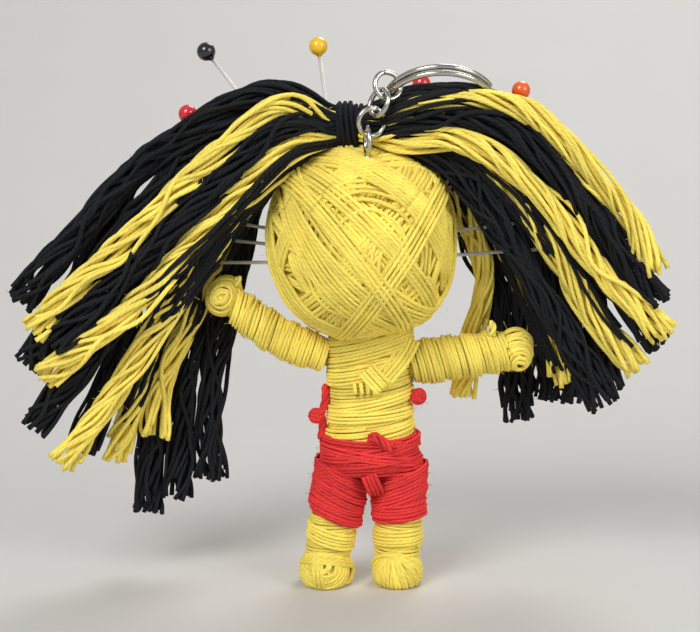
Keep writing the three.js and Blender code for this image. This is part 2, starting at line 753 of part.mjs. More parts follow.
// Arms and hands
ARMS.forEach((arm) => {
  const profile = [];
  for (let i = 0; i <= DOME_ROWS; i += 1) {
    const angle = (Math.PI / 2) * (i / DOME_ROWS);
    profile.push([arm.coreRoot * Math.sin(angle), -arm.coreRoot * Math.cos(angle)]);
  }
  profile[0][0] = 0;
  profile.push([arm.coreWrist, arm.coreEnd], [0, arm.coreEnd]);
  const bore = wireBore(arm.wireLow, arm.end);
  const core = solidOf(lathe(profile, LIMB_SIDES).applyMatrix4(arm.frame));
  addYarn(`arm_core_${arm.side}`, core.subtract(bore), YELLOW);
  const reach = (along) => {
    const around = THREE.MathUtils.lerp(arm.coreRoot, arm.coreWrist, along / arm.coreEnd) + yarnLift;
    return [around, around];
  };
  addWinding(`arm_winding_${arm.side}`, coil(arm.windStart, YARN_PITCH, arm.loops, ARM_STEPS, reach),
    YARN, YELLOW, arm.frame);
  const origin = new THREE.Vector3(0, 0, 0);
  const handShape = ball(origin, arm.handSize, LIMB_SIDES, BALL_ROWS).translate(0, 0, arm.length);
  const wristBlock = block(new THREE.Vector3(-FAR, -FAR, -FAR), new THREE.Vector3(FAR, FAR, arm.cutAt));
  const hand = solidOf(handShape).subtract(solidOf(wristBlock));
  const placed = solidOf(geometryOf(hand).applyMatrix4(arm.frame));
  addYarn(`hand_${arm.side}`, placed.subtract(bore), YELLOW);
  add(`arm_wire_${arm.side}`, wire(arm.wireLow, arm.end), WIRE_GREY, WIRE_ROUGHNESS, 1);
});

// Legs, shorts and feet
const floorBlock = solidOf(block(new THREE.Vector3(-FAR, -FAR, -FAR), new THREE.Vector3(FAR, FAR, 0)));
const hipBlock = solidOf(block(new THREE.Vector3(-FAR, -FAR, LEG_TOP), new THREE.Vector3(FAR, FAR, FAR)));
LEGS.forEach((leg) => {
  const profile = [
    [0, -KNEE_STEP * 2], [leg.coreThigh, -KNEE_STEP * 2], [leg.coreThigh, THIGH_LENGTH],
    [leg.coreShin, THIGH_LENGTH + KNEE_STEP], [leg.coreShin, leg.length], [0, leg.length],
  ];
  const bore = wireBore(leg.wireLow, leg.wireHigh);
  const footRoom = leg.footSize.map((size) => size + FIT_GAP);
  const room = solidOf(ball(leg.footCentre, footRoom, LIMB_SIDES, BALL_ROWS));
  const core = solidOf(lathe(profile, LIMB_SIDES).applyMatrix4(leg.frame));
  addYarn(`leg_core_${leg.side}`, cut(core, [hipBlock, room, bore]), YELLOW);
  const thigh = leg.coreThigh + yarnLift;
  const shin = leg.coreShin + yarnLift;
  addWinding(`leg_winding_${leg.side}`, coil(SHIN_START, YARN_PITCH, SHIN_LOOPS, LEG_STEPS,
    () => [shin, shin]), YARN, YELLOW, leg.frame);
  addWinding(`shorts_leg_winding_${leg.side}`, coil(THIGH_START, YARN_PITCH, THIGH_LOOPS, LEG_STEPS,
    () => [thigh, thigh]), YARN, RED, leg.frame);
  const foot = solidOf(ball(leg.footCentre, leg.footSize, LIMB_SIDES, BALL_ROWS));
  addYarn(`foot_${leg.side}`, cut(foot, [floorBlock, bore]), YELLOW);
  add(`leg_wire_${leg.side}`, wire(leg.wireLow, leg.wireHigh), WIRE_GREY, WIRE_ROUGHNESS, 1);
});

// Chain
const shank = solidOf(rod(eyeTip, eyeFoot, EYE_SHANK_RADIUS, BORE_SIDES));
addMetal("screw_eye", solidOf(ringBody(eyeCentre, vec(EYE_FACE))).add(shank));
LINKS.forEach((link) => {
  addMetal(link.name, solidOf(ringBody(vec(link.centre), vec(link.face))));
});

// Split ring: two flat turns joined by one crossing step
const splitFace = vec(SPLIT_FACE).normalize();
const splitCentre = vec(SPLIT_HELD).addScaledVector(vec(SPLIT_WAY), SPLIT_RADIUS);
const splitAlong = new THREE.Vector3(1, 0, 0);
const splitAcross = splitFace.clone().cross(splitAlong);
function splitPoint(angle) {
  const share = THREE.MathUtils.smoothstep(angle, 360 - SPLIT_CROSS / 2, 360 + SPLIT_CROSS / 2);
  const side = SPLIT_HALF_PITCH * (share * 2 - 1);
  const spot = splitCentre.clone().addScaledVector(splitFace, side);
  spot.addScaledVector(splitAlong, SPLIT_RADIUS * Math.cos(rad(angle + SPLIT_START)));
  spot.addScaledVector(splitAcross, SPLIT_RADIUS * Math.sin(rad(angle + SPLIT_START)));
  return spot;
}
const splitPoints = [];
const splitStep = 360 / SPLIT_STEPS;
for (let angle = SPLIT_CLEAR; angle <= 720 - SPLIT_CLEAR; angle += splitStep) {
  splitPoints.push(splitPoint(angle));
}
console.log(`split_ring: least gap ${selfGap(splitPoints, SPLIT_WIRE * 2).toFixed(2)} mm`);
addMetal("split_ring", solidOf(evenTube(splitPoints, SPLIT_WIRE, RING_SIDES)));

// Pins
PINS.forEach((pin) => add(pin.name, solidOf(pinBody(pin)), pin.colour, BEAD_ROUGHNESS, 0));

// Hair tie, wound round the bundle
const tieCentre = vec(TIE_CENTRE);
const tieMatrix = placement(tieCentre, new THREE.Vector3(1, 0, 0));
const tieReach = TIE_BUNDLE + FIT_GAP + TIE_YARN / 2;
addWinding("hair_tie", coil((-TIE_PITCH * TIE_LOOPS) / 2, TIE_PITCH, TIE_LOOPS, TIE_STEPS,
  () => [tieReach, tieReach]), TIE_YARN, BLACK, tieMatrix);

// Hair: each cord runs from its left end through the tie to its right end
HAIR_CORDS.forEach((cord) => {
  const inTie = (x) => new THREE.Vector3(x, cord.slot[0], tieCentre.z + cord.slot[1]);
  const tieLeft = inTie(tieCentre.x - TIE_STRAIGHT);
  const tieRight = inTie(tieCentre.x + TIE_STRAIGHT);
  const left = cord.left.map(vec);
  const right = cord.right.map(vec);
  const route = [
    ...left,
    tieLeft.clone().lerp(left[left.length - 1], FLARE),
    tieLeft,
    tieRight,
    tieRight.clone().lerp(right[0], FLARE),
    ...right,
  ];
  cord.curve = new THREE.CatmullRomCurve3(route, false, "centripetal");
  cord.spans = route.length - 1;
  cord.probes = cord.curve.getPoints(cord.spans * CORD_PROBES_PER_SPAN);
});

// Room left round a point by the solids beside the hair
function toSegment(point, from, to) {
  const nearest = new THREE.Vector3();
  new THREE.Line3(from, to).closestPointToPoint(point, true, nearest);
  return nearest.distanceTo(point);
}

function toCircle(point, centre, face, radius) {
  const offset = point.clone().sub(centre);
  const height = offset.dot(face);
  const flat = offset.addScaledVector(face, -height).length();
  return Math.hypot(flat - radius, height);
}

function roomBeside(point) {
  const atCrown = Math.abs(point.x - tieCentre.x) < CROWN_REACH;
  let room = point.distanceTo(HEAD_CENTRE) - (atCrown ? HEAD_YARN_RADIUS : HEAD_RADIUS);
  PINS.forEach((pin) => {
    const out = pin.ball.clone().addScaledVector(pin.aim, -PIN_PULL);
    const inward = pin.ball.clone().addScaledVector(pin.aim, pin.push);
    room = Math.min(room, toSegment(point, pin.tip, out) - PIN_SHAFT / 2);
    room = Math.min(room, toSegment(point, inward, out) - PIN_BALL / 2);
  });
  const rings = [{ centre: EYE_CENTRE, face: EYE_FACE }, ...LINKS];
  rings.forEach((ring) => {
    const around = toCircle(point, vec(ring.centre), vec(ring.face).normalize(), LINK_RADIUS);
    room = Math.min(room, around - LINK_WIRE);
  });
  [-SPLIT_HALF_PITCH, SPLIT_HALF_PITCH].forEach((side) => {
    const centre = splitCentre.clone().addScaledVector(splitFace, side);
    room = Math.min(room, toCircle(point, centre, splitFace, SPLIT_RADIUS) - SPLIT_WIRE);
  });
  ARMS.forEach((arm) => {
    room = Math.min(room, toSegment(point, arm.root, arm.end) - arm.rootRadius);
    room = Math.min(room, point.distanceTo(arm.end) - arm.handSize[0]);
  });
  return room - FIT_GAP;
}

// Cords are soft: each is squeezed where its neighbours or a hard piece leave less room
function cordRoom(cord) {
  return cord.probes.map((point) => {
    let room = Math.min(CORD_RADIUS, roomBeside(point));
    HAIR_CORDS.forEach((other) => {
      if (other !== cord) {
        for (let k = 0; k + 1 < other.probes.length; k += 1) {
          const apart = toSegment(point, other.probes[k], other.probes[k + 1]);
          room = Math.min(room, (apart - CORD_GAP) / 2);
        }
      }
    });
    return room;
  });
}

HAIR_CORDS.forEach((cord) => {
  const room = cordRoom(cord);
  const steps = Math.round(cord.spans * CORD_STEPS_PER_SPAN);
  const window = room.length / steps;
  const points = cord.curve.getPoints(steps);
  const radii = points.map((point, i) => {
    const from = Math.max(0, Math.floor((i - 1) * window));
    const to = Math.min(room.length, Math.ceil((i + 1) * window) + 1);
    return Math.min(...room.slice(from, to));
  });
  const thinnest = Math.min(...radii);
  const at = points[radii.indexOf(thinnest)];
  const spot = [at.x, at.y, at.z].map((value) => value.toFixed(1)).join(" ");
  const length = cord.curve.getLength().toFixed(0);
  console.log(`${cord.name}: ${length} mm, thinnest ${thinnest.toFixed(2)} at ${spot}`);
  cord.radii = radii.map((radius) => Math.max(radius, CORD_LEAST));
  cord.points = points;
  addYarn(cord.name, solidOf(tube(points, cord.radii, CORD_SIDES)), cord.colour);
});

// Put the middle of everything but the hair over the origin, with the soles on the floor
const doll = new THREE.Group();
doll.name = "voodoo_doll";
const firm = new THREE.Box3();
pieces.forEach((mesh) => {
  if (!mesh.name.startsWith("hair_cord")) {
    firm.expandByObject(mesh);
  }
});
const middle = firm.getCenter(new THREE.Vector3());
pieces.forEach((mesh) => {
  mesh.geometry.translate(-middle.x, -middle.y, -firm.min.z);
  doll.add(mesh);
});
console.log(`moved by ${-middle.x} ${-middle.y} ${-firm.min.z}`);
const triangles = pieces.reduce((sum, mesh) => sum + mesh.geometry.index.count / 3, 0);
console.log(`${pieces.length} nodes, ${triangles} triangles`);

export default doll;
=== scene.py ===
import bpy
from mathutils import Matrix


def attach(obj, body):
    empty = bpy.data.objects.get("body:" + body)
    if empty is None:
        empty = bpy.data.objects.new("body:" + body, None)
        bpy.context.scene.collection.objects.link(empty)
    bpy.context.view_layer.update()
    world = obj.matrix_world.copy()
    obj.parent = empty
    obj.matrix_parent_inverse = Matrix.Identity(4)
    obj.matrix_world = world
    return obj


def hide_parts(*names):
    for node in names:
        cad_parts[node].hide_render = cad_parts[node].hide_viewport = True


bl_info = {
    "name": "String doll",
    "version": (1, 0, 0),
    "blender": (4, 5, 0),
    "location": "3D View > Sidebar > String doll",
    "description": "Dresses the jointed string doll with wound yarn, cord hair, pins and its chain",
    "category": "Object",
}

import math

import bmesh
import bpy
import numpy as np
from mathutils import Matrix, Vector

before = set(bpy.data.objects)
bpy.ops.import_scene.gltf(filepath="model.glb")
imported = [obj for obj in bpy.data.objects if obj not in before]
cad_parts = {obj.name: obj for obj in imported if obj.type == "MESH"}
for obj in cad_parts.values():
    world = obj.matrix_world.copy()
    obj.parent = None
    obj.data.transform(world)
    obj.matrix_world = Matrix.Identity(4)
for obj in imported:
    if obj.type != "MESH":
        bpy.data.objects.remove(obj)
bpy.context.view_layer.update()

# Millimetres to metres, and the doll's own middle in the row's frame
MM = 0.001
MIDDLE = np.array([0.7405, 0.0113, 0.0])
TURN = 2 * math.pi
# Width of the photo in pixels, and pixels to a millimetre of the doll
PHOTO_WIDTH = 700
PHOTO_SCALE = 4.6

# Head and hair tie: all sizes and places on the doll are in millimetres. The tie has two layers
HEAD = np.array([-0.9, 0.0, 76.1])
HEAD_CORE = 17.0
HEAD_BALL = 20.4
HEAD_FRONT = 20.5
HEAD_REACH = 21.3
TIE = np.array([-3.5, 0.0, 100.3])
TIE_STRAIGHT = 2.9
TIE_FLARE = 0.2
TIE_UNDER = 4.9
TIE_OVER = 5.45

# Half the width of the yarn on the head, hands and feet, and of a strand of the hair
YARN = 0.47
STRAND = 0.5
# Yarn on the body, pulled tight: half its width, and from turn to turn
FINE_YARN = 0.38
FINE_PITCH = 0.75
# Darkening of the imported yarn that is seen between the outer yarns, as painted shade, and how far red
# strands differ in tone
PACKED_SHADE = 0.62
RED_TONE = 0.14


def linear(code):
    """Turns an sRGB hex value to the linear colour that Blender uses."""
    parts = [int(code[i:i + 2], 16) / 255 for i in (1, 3, 5)]
    return tuple(p / 12.92 if p <= 0.04045 else ((p + 0.055) / 1.055) ** 2.4 for p in parts)


def shade(colour, share):
    """A linear colour, darker or lighter by a share, as a node's colour socket takes it."""
    return tuple(min(1.0, c * share) for c in colour[:3]) + (1.0,)


class YarnSettings(bpy.types.PropertyGroup):
    """Yarn of the wound body and of the hair."""

    twist: bpy.props.FloatProperty(
        name="Twist", description="Length of one turn of the yarn's plies",
        default=4.6 * MM, min=MM, max=10 * MM, precision=5, unit="LENGTH")
    yellow: bpy.props.FloatVectorProperty(
        name="Yellow", description="Colour of the body yarn and the light cords",
        default=linear("#F6E068"), subtype="COLOR", min=0, max=1)
    red: bpy.props.FloatVectorProperty(
        name="Red", description="Colour of the shorts and the sash",
        default=linear("#DC3A3A"), subtype="COLOR", min=0, max=1)
    black: bpy.props.FloatVectorProperty(
        name="Black", description="Colour of the dark cords and their tie",
        default=linear("#17181B"), subtype="COLOR", min=0, max=1)


class HairSettings(bpy.types.PropertyGroup):
    """Cords of the hair."""

    strands: bpy.props.IntProperty(
        name="Strands", description="Strands round the core of one hair cord",
        default=11, min=5, max=14)
    spread: bpy.props.FloatProperty(
        name="Spread", description="How far a cord's strands lie from its middle",
        default=2.15 * MM, min=0.6 * MM, max=2.4 * MM, precision=5, unit="LENGTH")
    lay: bpy.props.FloatProperty(
        name="Lay", description="Length of one turn of the strands round the cord",
        default=44 * MM, min=15 * MM, max=200 * MM, precision=5, unit="LENGTH")
    fray: bpy.props.FloatProperty(
        name="Fray", description="How far the cut ends stand apart",
        default=1.5 * MM, min=0, max=2.2 * MM, precision=5, unit="LENGTH")


class TrimSettings(bpy.types.PropertyGroup):
    """Pins and stage."""

    bead: bpy.props.FloatProperty(
        name="Bead", description="Width of a pin's round head",
        default=4 * MM, min=2 * MM, max=6 * MM, precision=5, unit="LENGTH")
    shaft: bpy.props.FloatProperty(
        name="Shaft", description="Width of a pin's steel shaft",
        default=0.75 * MM, min=0.4 * MM, max=1.2 * MM, precision=5, unit="LENGTH")
    floor: bpy.props.FloatVectorProperty(
        name="Floor", description="Colour of the floor and backdrop",
        default=linear("#C9C7C3"), subtype="COLOR", min=0, max=1)


def place(points):
    """Points on the doll in millimetres, as metres in the row's frame."""
    return (np.asarray(points, float) + MIDDLE) * MM


def add_node(tree, kind, inputs=None, **settings):
    """Adds a node with its settings, and fills or links its inputs."""
    made = tree.nodes.new(kind)
    for name, value in settings.items():
        setattr(made, name, value)
    for name, value in (inputs or {}).items():
        if isinstance(value, bpy.types.NodeSocket):
            tree.links.new(value, made.inputs[name])
        else:
            made.inputs[name].default_value = value
    return made


def new_material(name, **sockets):
    """A surface with the constants of its finish set on the shader, or the one that is already there."""
    made = bpy.data.materials.get(name)
    if made:
        return made, None, None
    made = bpy.data.materials.new(name)
    made.use_nodes = True
    shader = made.node_tree.nodes["Principled BSDF"]
    for socket, value in sockets.items():
        shader.inputs[socket].default_value = value
    return made, made.node_tree, shader


def worked_out(tree, operation, *values):
    """The result of one sum on sockets and numbers."""
    return add_node(tree, "ShaderNodeMath", dict(enumerate(values)), operation=operation).outputs[0]


def noise(tree, width, detail, distortion=0.0):
    """A pattern of patches that many millimetres wide, which stays with the piece."""
    where = add_node(tree, "ShaderNodeTexCoord")
    return add_node(tree, "ShaderNodeTexNoise", {
        "Vector": where.outputs["Object"], "Scale": 1 / (width * MM), "Detail": detail,
        "Distortion": distortion}).outputs["Fac"]


def tinted(tree, shader, pattern, first, second):
    """Colours a surface by a pattern, from one colour to another."""
    tint = add_node(tree, "ShaderNodeMix", {0: pattern, 6: first, 7: second}, data_type="RGBA")
    tree.links.new(tint.outputs[2], shader.inputs["Base Color"])


def dulled(tree, shader, pattern, begin, stop, low, high):
    """Varies the gloss of a surface where a pattern goes from one value to another."""
    dull = add_node(tree, "ShaderNodeMapRange", {0: pattern, 1: begin, 2: stop, 3: low, 4: high})
    tree.links.new(dull.outputs[0], shader.inputs["Roughness"])


def raised(tree, shader, pattern, strength, depth):
    """Gives a surface fine relief of a depth in millimetres, by a pattern."""
    bump = add_node(tree, "ShaderNodeBump", {
        "Height": pattern, "Strength": strength, "Distance": depth * MM})
    tree.links.new(bump.outputs[0], shader.inputs["Normal"])


# Cotton yarns: how dark the painted shade in their grooves and how light the painted highlight along their
# plies are, and their sheen
COTTONS = {"yellow": (0.74, 1.1, 0.2), "red": (0.62, 1.2, 0.12), "black": (0.5, 1.7, 0.12)}


def cotton(dye):
    """Twisted cotton: soft and without gloss, with a painted highlight along each ply and painted shade in
    the grooves between.
    """
    deep, bright, sheen = COTTONS[dye]
    yarn = bpy.context.scene.doll_yarn
    colour = getattr(yarn, dye)
    made, tree, shader = new_material(f"cotton_yarn_{dye}", **{
        "Roughness": 0.88, "IOR": 1.47, "Specular IOR Level": 0.25,
        "Sheen Weight": sheen, "Sheen Roughness": 0.45})
    if tree is None:
        return made
    shader.inputs["Sheen Tint"].default_value = shade(colour, bright)
    lay = add_node(tree, "ShaderNodeAttribute", attribute_name="yarn_lay").outputs["Vector"]
    tone = add_node(tree, "ShaderNodeAttribute", attribute_name="yarn_tone").outputs["Fac"]
    parts = add_node(tree, "ShaderNodeSeparateXYZ", {0: lay}).outputs
    # Three plies, which turn once in the yarn's twist
    around = worked_out(tree, "ARCTAN2", parts["Z"], parts["Y"])
    plies = worked_out(tree, "MULTIPLY", around, 3.0)
    turned = worked_out(tree, "MULTIPLY_ADD", parts["X"], TURN * 3 * MM / yarn.twist, plies)
    wave = worked_out(tree, "SINE", turned)
    ply = add_node(tree, "ShaderNodeMapRange", {0: wave, 1: -1.0, 2: 1.0}).outputs[0]
    # Fibres of the spun ply, about 2 mm long and 0.2 mm apart, and patches of uneven dye, 6 mm across
    drawn = add_node(tree, "ShaderNodeVectorMath", {0: lay, 1: (0.5, 2.4, 2.4)}, operation="MULTIPLY")
    fibre = add_node(tree, "ShaderNodeTexNoise", {
        "Vector": drawn.outputs[0], "Scale": 1.0, "Detail": 4.0}).outputs["Fac"]
    mix = worked_out(tree, "MULTIPLY_ADD", ply, 0.34, fibre)
    # The ramp paints shade in the grooves between the plies and a highlight along each ply; the fibres vary
    # the tone at random
    ramp = add_node(tree, "ShaderNodeValToRGB", {0: mix})
    stops = ramp.color_ramp.elements
    stops[0].position = 0.3
    stops[0].color = shade(colour, deep)
    stops[1].position = 0.86
    stops[1].color = shade(colour, bright)
    stops.new(0.6).color = shade(colour, 1.0)
    uneven = add_node(tree, "ShaderNodeMapRange", {0: noise(tree, 6, 2.0), 1: 0.3, 2: 0.7, 3: 0.9, 4: 1.1})
    # Each strand's random tone, or the painted shade of packed yarn, scales the colour
    strand = worked_out(tree, "MULTIPLY", uneven.outputs[0], tone)
    dyed = add_node(tree, "ShaderNodeVectorMath", {
        0: ramp.outputs["Color"], "Scale": strand}, operation="SCALE")
    tree.links.new(dyed.outputs[0], shader.inputs["Base Color"])
    raised(tree, shader, mix, 0.55, 0.1)
    return made


def bead_plastic(name, code):
    """Moulded polystyrene bead: glossy, with faint flow marks and a thumbed, uneven shine."""
    made, tree, shader = new_material(name, **{
        "IOR": 1.59, "Coat Weight": 0.35, "Coat Roughness": 0.06,
        "Subsurface Weight": 0.08, "Subsurface Scale": MM})
    if tree is None:
        return made
    flow = noise(tree, 2.2, 4.0, distortion=0.6)
    tinted(tree, shader, flow, shade(linear(code), 0.86), shade(linear(code), 1.12))
    dulled(tree, shader, flow, 0.0, 1.0, 0.1, 0.26)
    return made


def bright_metal(name, code, low, high, grain, mirror=1.0):
    """Drawn and plated wire: a clear mirror with fine draw marks and soft dulled patches."""
    made, tree, shader = new_material(name, Metallic=mirror)
    if tree is None:
        return made
    marks = noise(tree, grain, 5.0)
    tinted(tree, shader, marks, shade(linear(code), 0.82), shade(linear(code), 1.08))
    dulled(tree, shader, marks, 0.3, 0.7, low, high)
    raised(tree, shader, marks, 0.15, 0.03)
    return made


def foam_white():
    """Cut polyether foam: off-white, open cells about half a millimetre wide, with painted shade in the
    hollow of each cell.
    """
    made, tree, shader = new_material("polyether_foam", Roughness=0.95)
    if tree is None:
        return made
    where = add_node(tree, "ShaderNodeTexCoord")
    cells = add_node(tree, "ShaderNodeTexVoronoi", {
        "Vector": where.outputs["Object"], "Scale": 1 / (0.5 * MM)}).outputs["Distance"]
    # Painted shade: darker in the hollow middle of each cell, lighter on the walls between
    tinted(tree, shader, cells, shade(linear("#B9B3A2"), 1), shade(linear("#EFEADC"), 1))
    raised(tree, shader, cells, 0.6, 0.2)
    return made


def matt_paper():
    """Seamless studio paper: pale, matt, with a hardly seen mottle."""
    made, tree, shader = new_material("studio_paper", Roughness=0.82)
    if tree is None:
        return made
    colour = bpy.context.scene.doll_trim.floor
    tinted(tree, shader, noise(tree, 40, 4.0), shade(colour, 0.97), shade(colour, 1.02))
    return made


def unit(v):
    """A direction of length one."""
    v = np.asarray(v, float)
    return v / np.linalg.norm(v)


def units(rows):
    """Directions of length one, one in each row."""
    return rows / np.maximum(np.linalg.norm(rows, axis=1, keepdims=True), 1e-9)


def run_along(line):
    """How far along a line each of its points is."""
    return np.r_[0, np.cumsum(np.linalg.norm(np.diff(line, axis=0), axis=1))]


def even_steps(line, step):
    """The same line with points an even step apart."""
    run = run_along(line)
    count = max(3, int(round(run[-1] / step)) + 1)
    at = np.linspace(0, run[-1], count)
    return np.stack([np.interp(at, run, line[:, k]) for k in range(3)], axis=1)


def smooth_route(points, step):
    """A centripetal curve through the points, cut into even steps of about that length."""
    p = np.asarray(points, float)
    ends = np.vstack([2 * p[0] - p[1], p, 2 * p[-1] - p[-2]])
    out = []
    for i in range(1, len(ends) - 2):
        a, b, c, d = ends[i - 1:i + 3]
        t1 = np.linalg.norm(b - a) ** 0.5
        t2 = t1 + np.linalg.norm(c - b) ** 0.5
        t3 = t2 + np.linalg.norm(d - c) ** 0.5
        t = np.linspace(t1, t2, 24, endpoint=False)[:, None]
        a1 = (t1 - t) / t1 * a + t / t1 * b
        a2 = (t2 - t) / (t2 - t1) * b + (t - t1) / (t2 - t1) * c
        a3 = (t3 - t) / (t3 - t2) * c + (t - t2) / (t3 - t2) * d
        b1 = (t2 - t) / t2 * a1 + t / t2 * a2
        b2 = (t3 - t) / (t3 - t1) * a2 + (t - t1) / (t3 - t1) * a3
        out.append((t2 - t) / (t2 - t1) * b1 + (t - t1) / (t2 - t1) * b2)
    return even_steps(np.vstack(out + [p[-1:]]), step)


def side_frames(line):
    """Two directions across a line at each of its points, that turn as little as they can."""
    along = units(np.gradient(line, axis=0))
    across = [unit(np.cross(along[0], [0.31, 0.87, 0.38]))]
    for tangent in along[1:]:
        across.append(unit(across[-1] - tangent * np.dot(across[-1], tangent)))
    across = np.array(across)
    return across, np.cross(along, across)


def beside(line, first, second, angle, reach):
    """A strand beside a line: how far off it lies, and at which angle between two directions."""
    return line + first * (np.cos(angle) * reach)[:, None] + second * (np.sin(angle) * reach)[:, None]


def wander(rng, run, reach, wave):
    """A slow side-to-side drift along a strand."""
    drift = np.zeros(len(run))
    for share in (1.0, 0.47, 0.21):
        drift += share * np.sin(TURN * run / (wave * share * rng.uniform(0.8, 1.25)) + rng.uniform(0, TURN))
    return reach * drift / 1.7


def into_mesh(name, shape):
    """The mesh of a shape that has been built."""
    mesh = bpy.data.meshes.new(name)
    shape.to_mesh(mesh)
    shape.free()
    return mesh


def finished(name, mesh, material, body):
    """The mesh as a smooth piece with its material, riding on its body."""
    mesh.shade_smooth()
    mesh.materials.clear()
    mesh.materials.append(material)
    piece = bpy.data.objects.new(name, mesh)
    bpy.context.scene.collection.objects.link(piece)
    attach(piece, body)
    return piece


def listed(piece, node=None):
    """Hides the solid of the frame that a piece is shown instead of, where one is named; the piece itself is
    not used.
    """
    if node:
        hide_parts(node)


def tubes(name, strands, radius, sides, rounding=0.0):
    """A mesh of round tubes along lines in millimetres, each with its width and closed ends."""
    curve = bpy.data.curves.new(name, "CURVE")
    curve.dimensions = "3D"
    curve.bevel_depth = radius * MM
    curve.bevel_resolution = sides
    for line, width in strands:
        points = place(line)
        spline = curve.splines.new("POLY")
        spline.points.add(len(points) - 1)
        spline.points.foreach_set("co", np.c_[points, np.ones(len(points))].ravel())
        spline.points.foreach_set("radius", np.broadcast_to(width, len(points)).astype(float))
    source = bpy.data.objects.new(name + "_line", curve)
    bpy.context.scene.collection.objects.link(source)
    bpy.context.view_layer.update()
    mesh = bpy.data.meshes.new_from_object(
        source.evaluated_get(bpy.context.evaluated_depsgraph_get()))
    bpy.data.objects.remove(source)
    bpy.data.curves.remove(curve)
    mesh.name = name
    shape = bmesh.new()
    shape.from_mesh(mesh)
    rims = [e for e in shape.edges if e.is_boundary]
    caps = bmesh.ops.holes_fill(shape, edges=rims, sides=0)["faces"]
    if rounding:
        bmesh.ops.bevel(shape, geom=list({e for f in caps for e in f.edges}), offset=rounding * MM,
                        offset_type="OFFSET", affect="EDGES", segments=2, profile=0.5, material=-1)
    shape.to_mesh(mesh)
    shape.free()
    return mesh


def mark_lay(mesh, lay, tones):
    """Keeps on each point how far along its yarn and where round it that is, and the strand's tone, which
    for packed yarn is a painted shade.
    """
    attribute = mesh.attributes.new("yarn_lay", "FLOAT_VECTOR", "POINT")
    attribute.data.foreach_set("vector", np.asarray(lay, np.float32).ravel())
    attribute = mesh.attributes.new("yarn_tone", "FLOAT", "POINT")
    attribute.data.foreach_set("value", np.asarray(tones, np.float32))


def second_material(mesh, material, seam):
    """Gives the faces from a point's number on another material."""
    mesh.materials.append(material)
    corner = np.empty(len(mesh.loops), int)
    mesh.loops.foreach_get("vertex_index", corner)
    first = np.empty(len(mesh.polygons), int)
    mesh.polygons.foreach_get("loop_start", first)
    mesh.polygons.foreach_set("material_index", (corner[first] >= seam).astype(np.int32))


# Lines of all yarn laid so far, by body and dye, for the loose fibres
FLUFF = {}


def spun(name, strands, radius, dye, node=None, body="doll", seed=0, sides=1, tone=0.1, covers=()):
    """One piece of yarn strands: round tubes along lines in millimetres, with the lay of their plies.

    A strand is a line, or a line with its width. Black strands can cover those of the piece's own dye.
    The piece stands for a node of the frame, where one is named."""
    rng = np.random.default_rng(seed)
    last = len(strands)
    strands = [*strands, *covers]
    strands = [strand if isinstance(strand, tuple) else (strand, 1.0) for strand in strands]
    mesh = tubes(name, strands, radius, sides)
    lines = [np.asarray(line, float) for line, _width in strands]
    FLUFF.setdefault((body, dye), []).extend(lines[:last])
    if covers:
        FLUFF.setdefault((body, "black"), []).extend(lines[last:])
    ring = len(mesh.vertices) // sum(len(line) for line in lines)
    angle = np.arange(ring) / ring * TURN
    lay, tones = [], []
    for line in lines:
        run = run_along(line) + rng.uniform(0, 9)
        grid = np.empty((len(line), ring, 3))
        grid[:, :, 0] = run[:, None]
        grid[:, :, 1] = np.cos(angle)
        grid[:, :, 2] = np.sin(angle)
        lay.append(grid.reshape(-1, 3))
        tones.append(np.full(len(line) * ring, 1 + rng.uniform(-tone, tone)))
    mark_lay(mesh, np.concatenate(lay), np.concatenate(tones))
    piece = finished(name, mesh, cotton(dye), body)
    if covers:
        second_material(mesh, cotton("black"), sum(len(line) for line in lines[:last]) * ring)
    listed(piece, node)
    return piece


def packed(name, shape, node=None, body="doll"):
    """A core of packed yellow yarn as a piece of its own, darkened all over as painted shade where it shows
    between the outer yarns.
    """
    mesh = into_mesh(name, shape)
    spots = np.array([v.co for v in mesh.vertices]) / MM
    mark_lay(mesh, np.c_[spots[:, 2] * 0.4, spots[:, 0], spots[:, 1]], np.full(len(spots), PACKED_SHADE))
    listed(finished(name, mesh, cotton("yellow"), body), node)


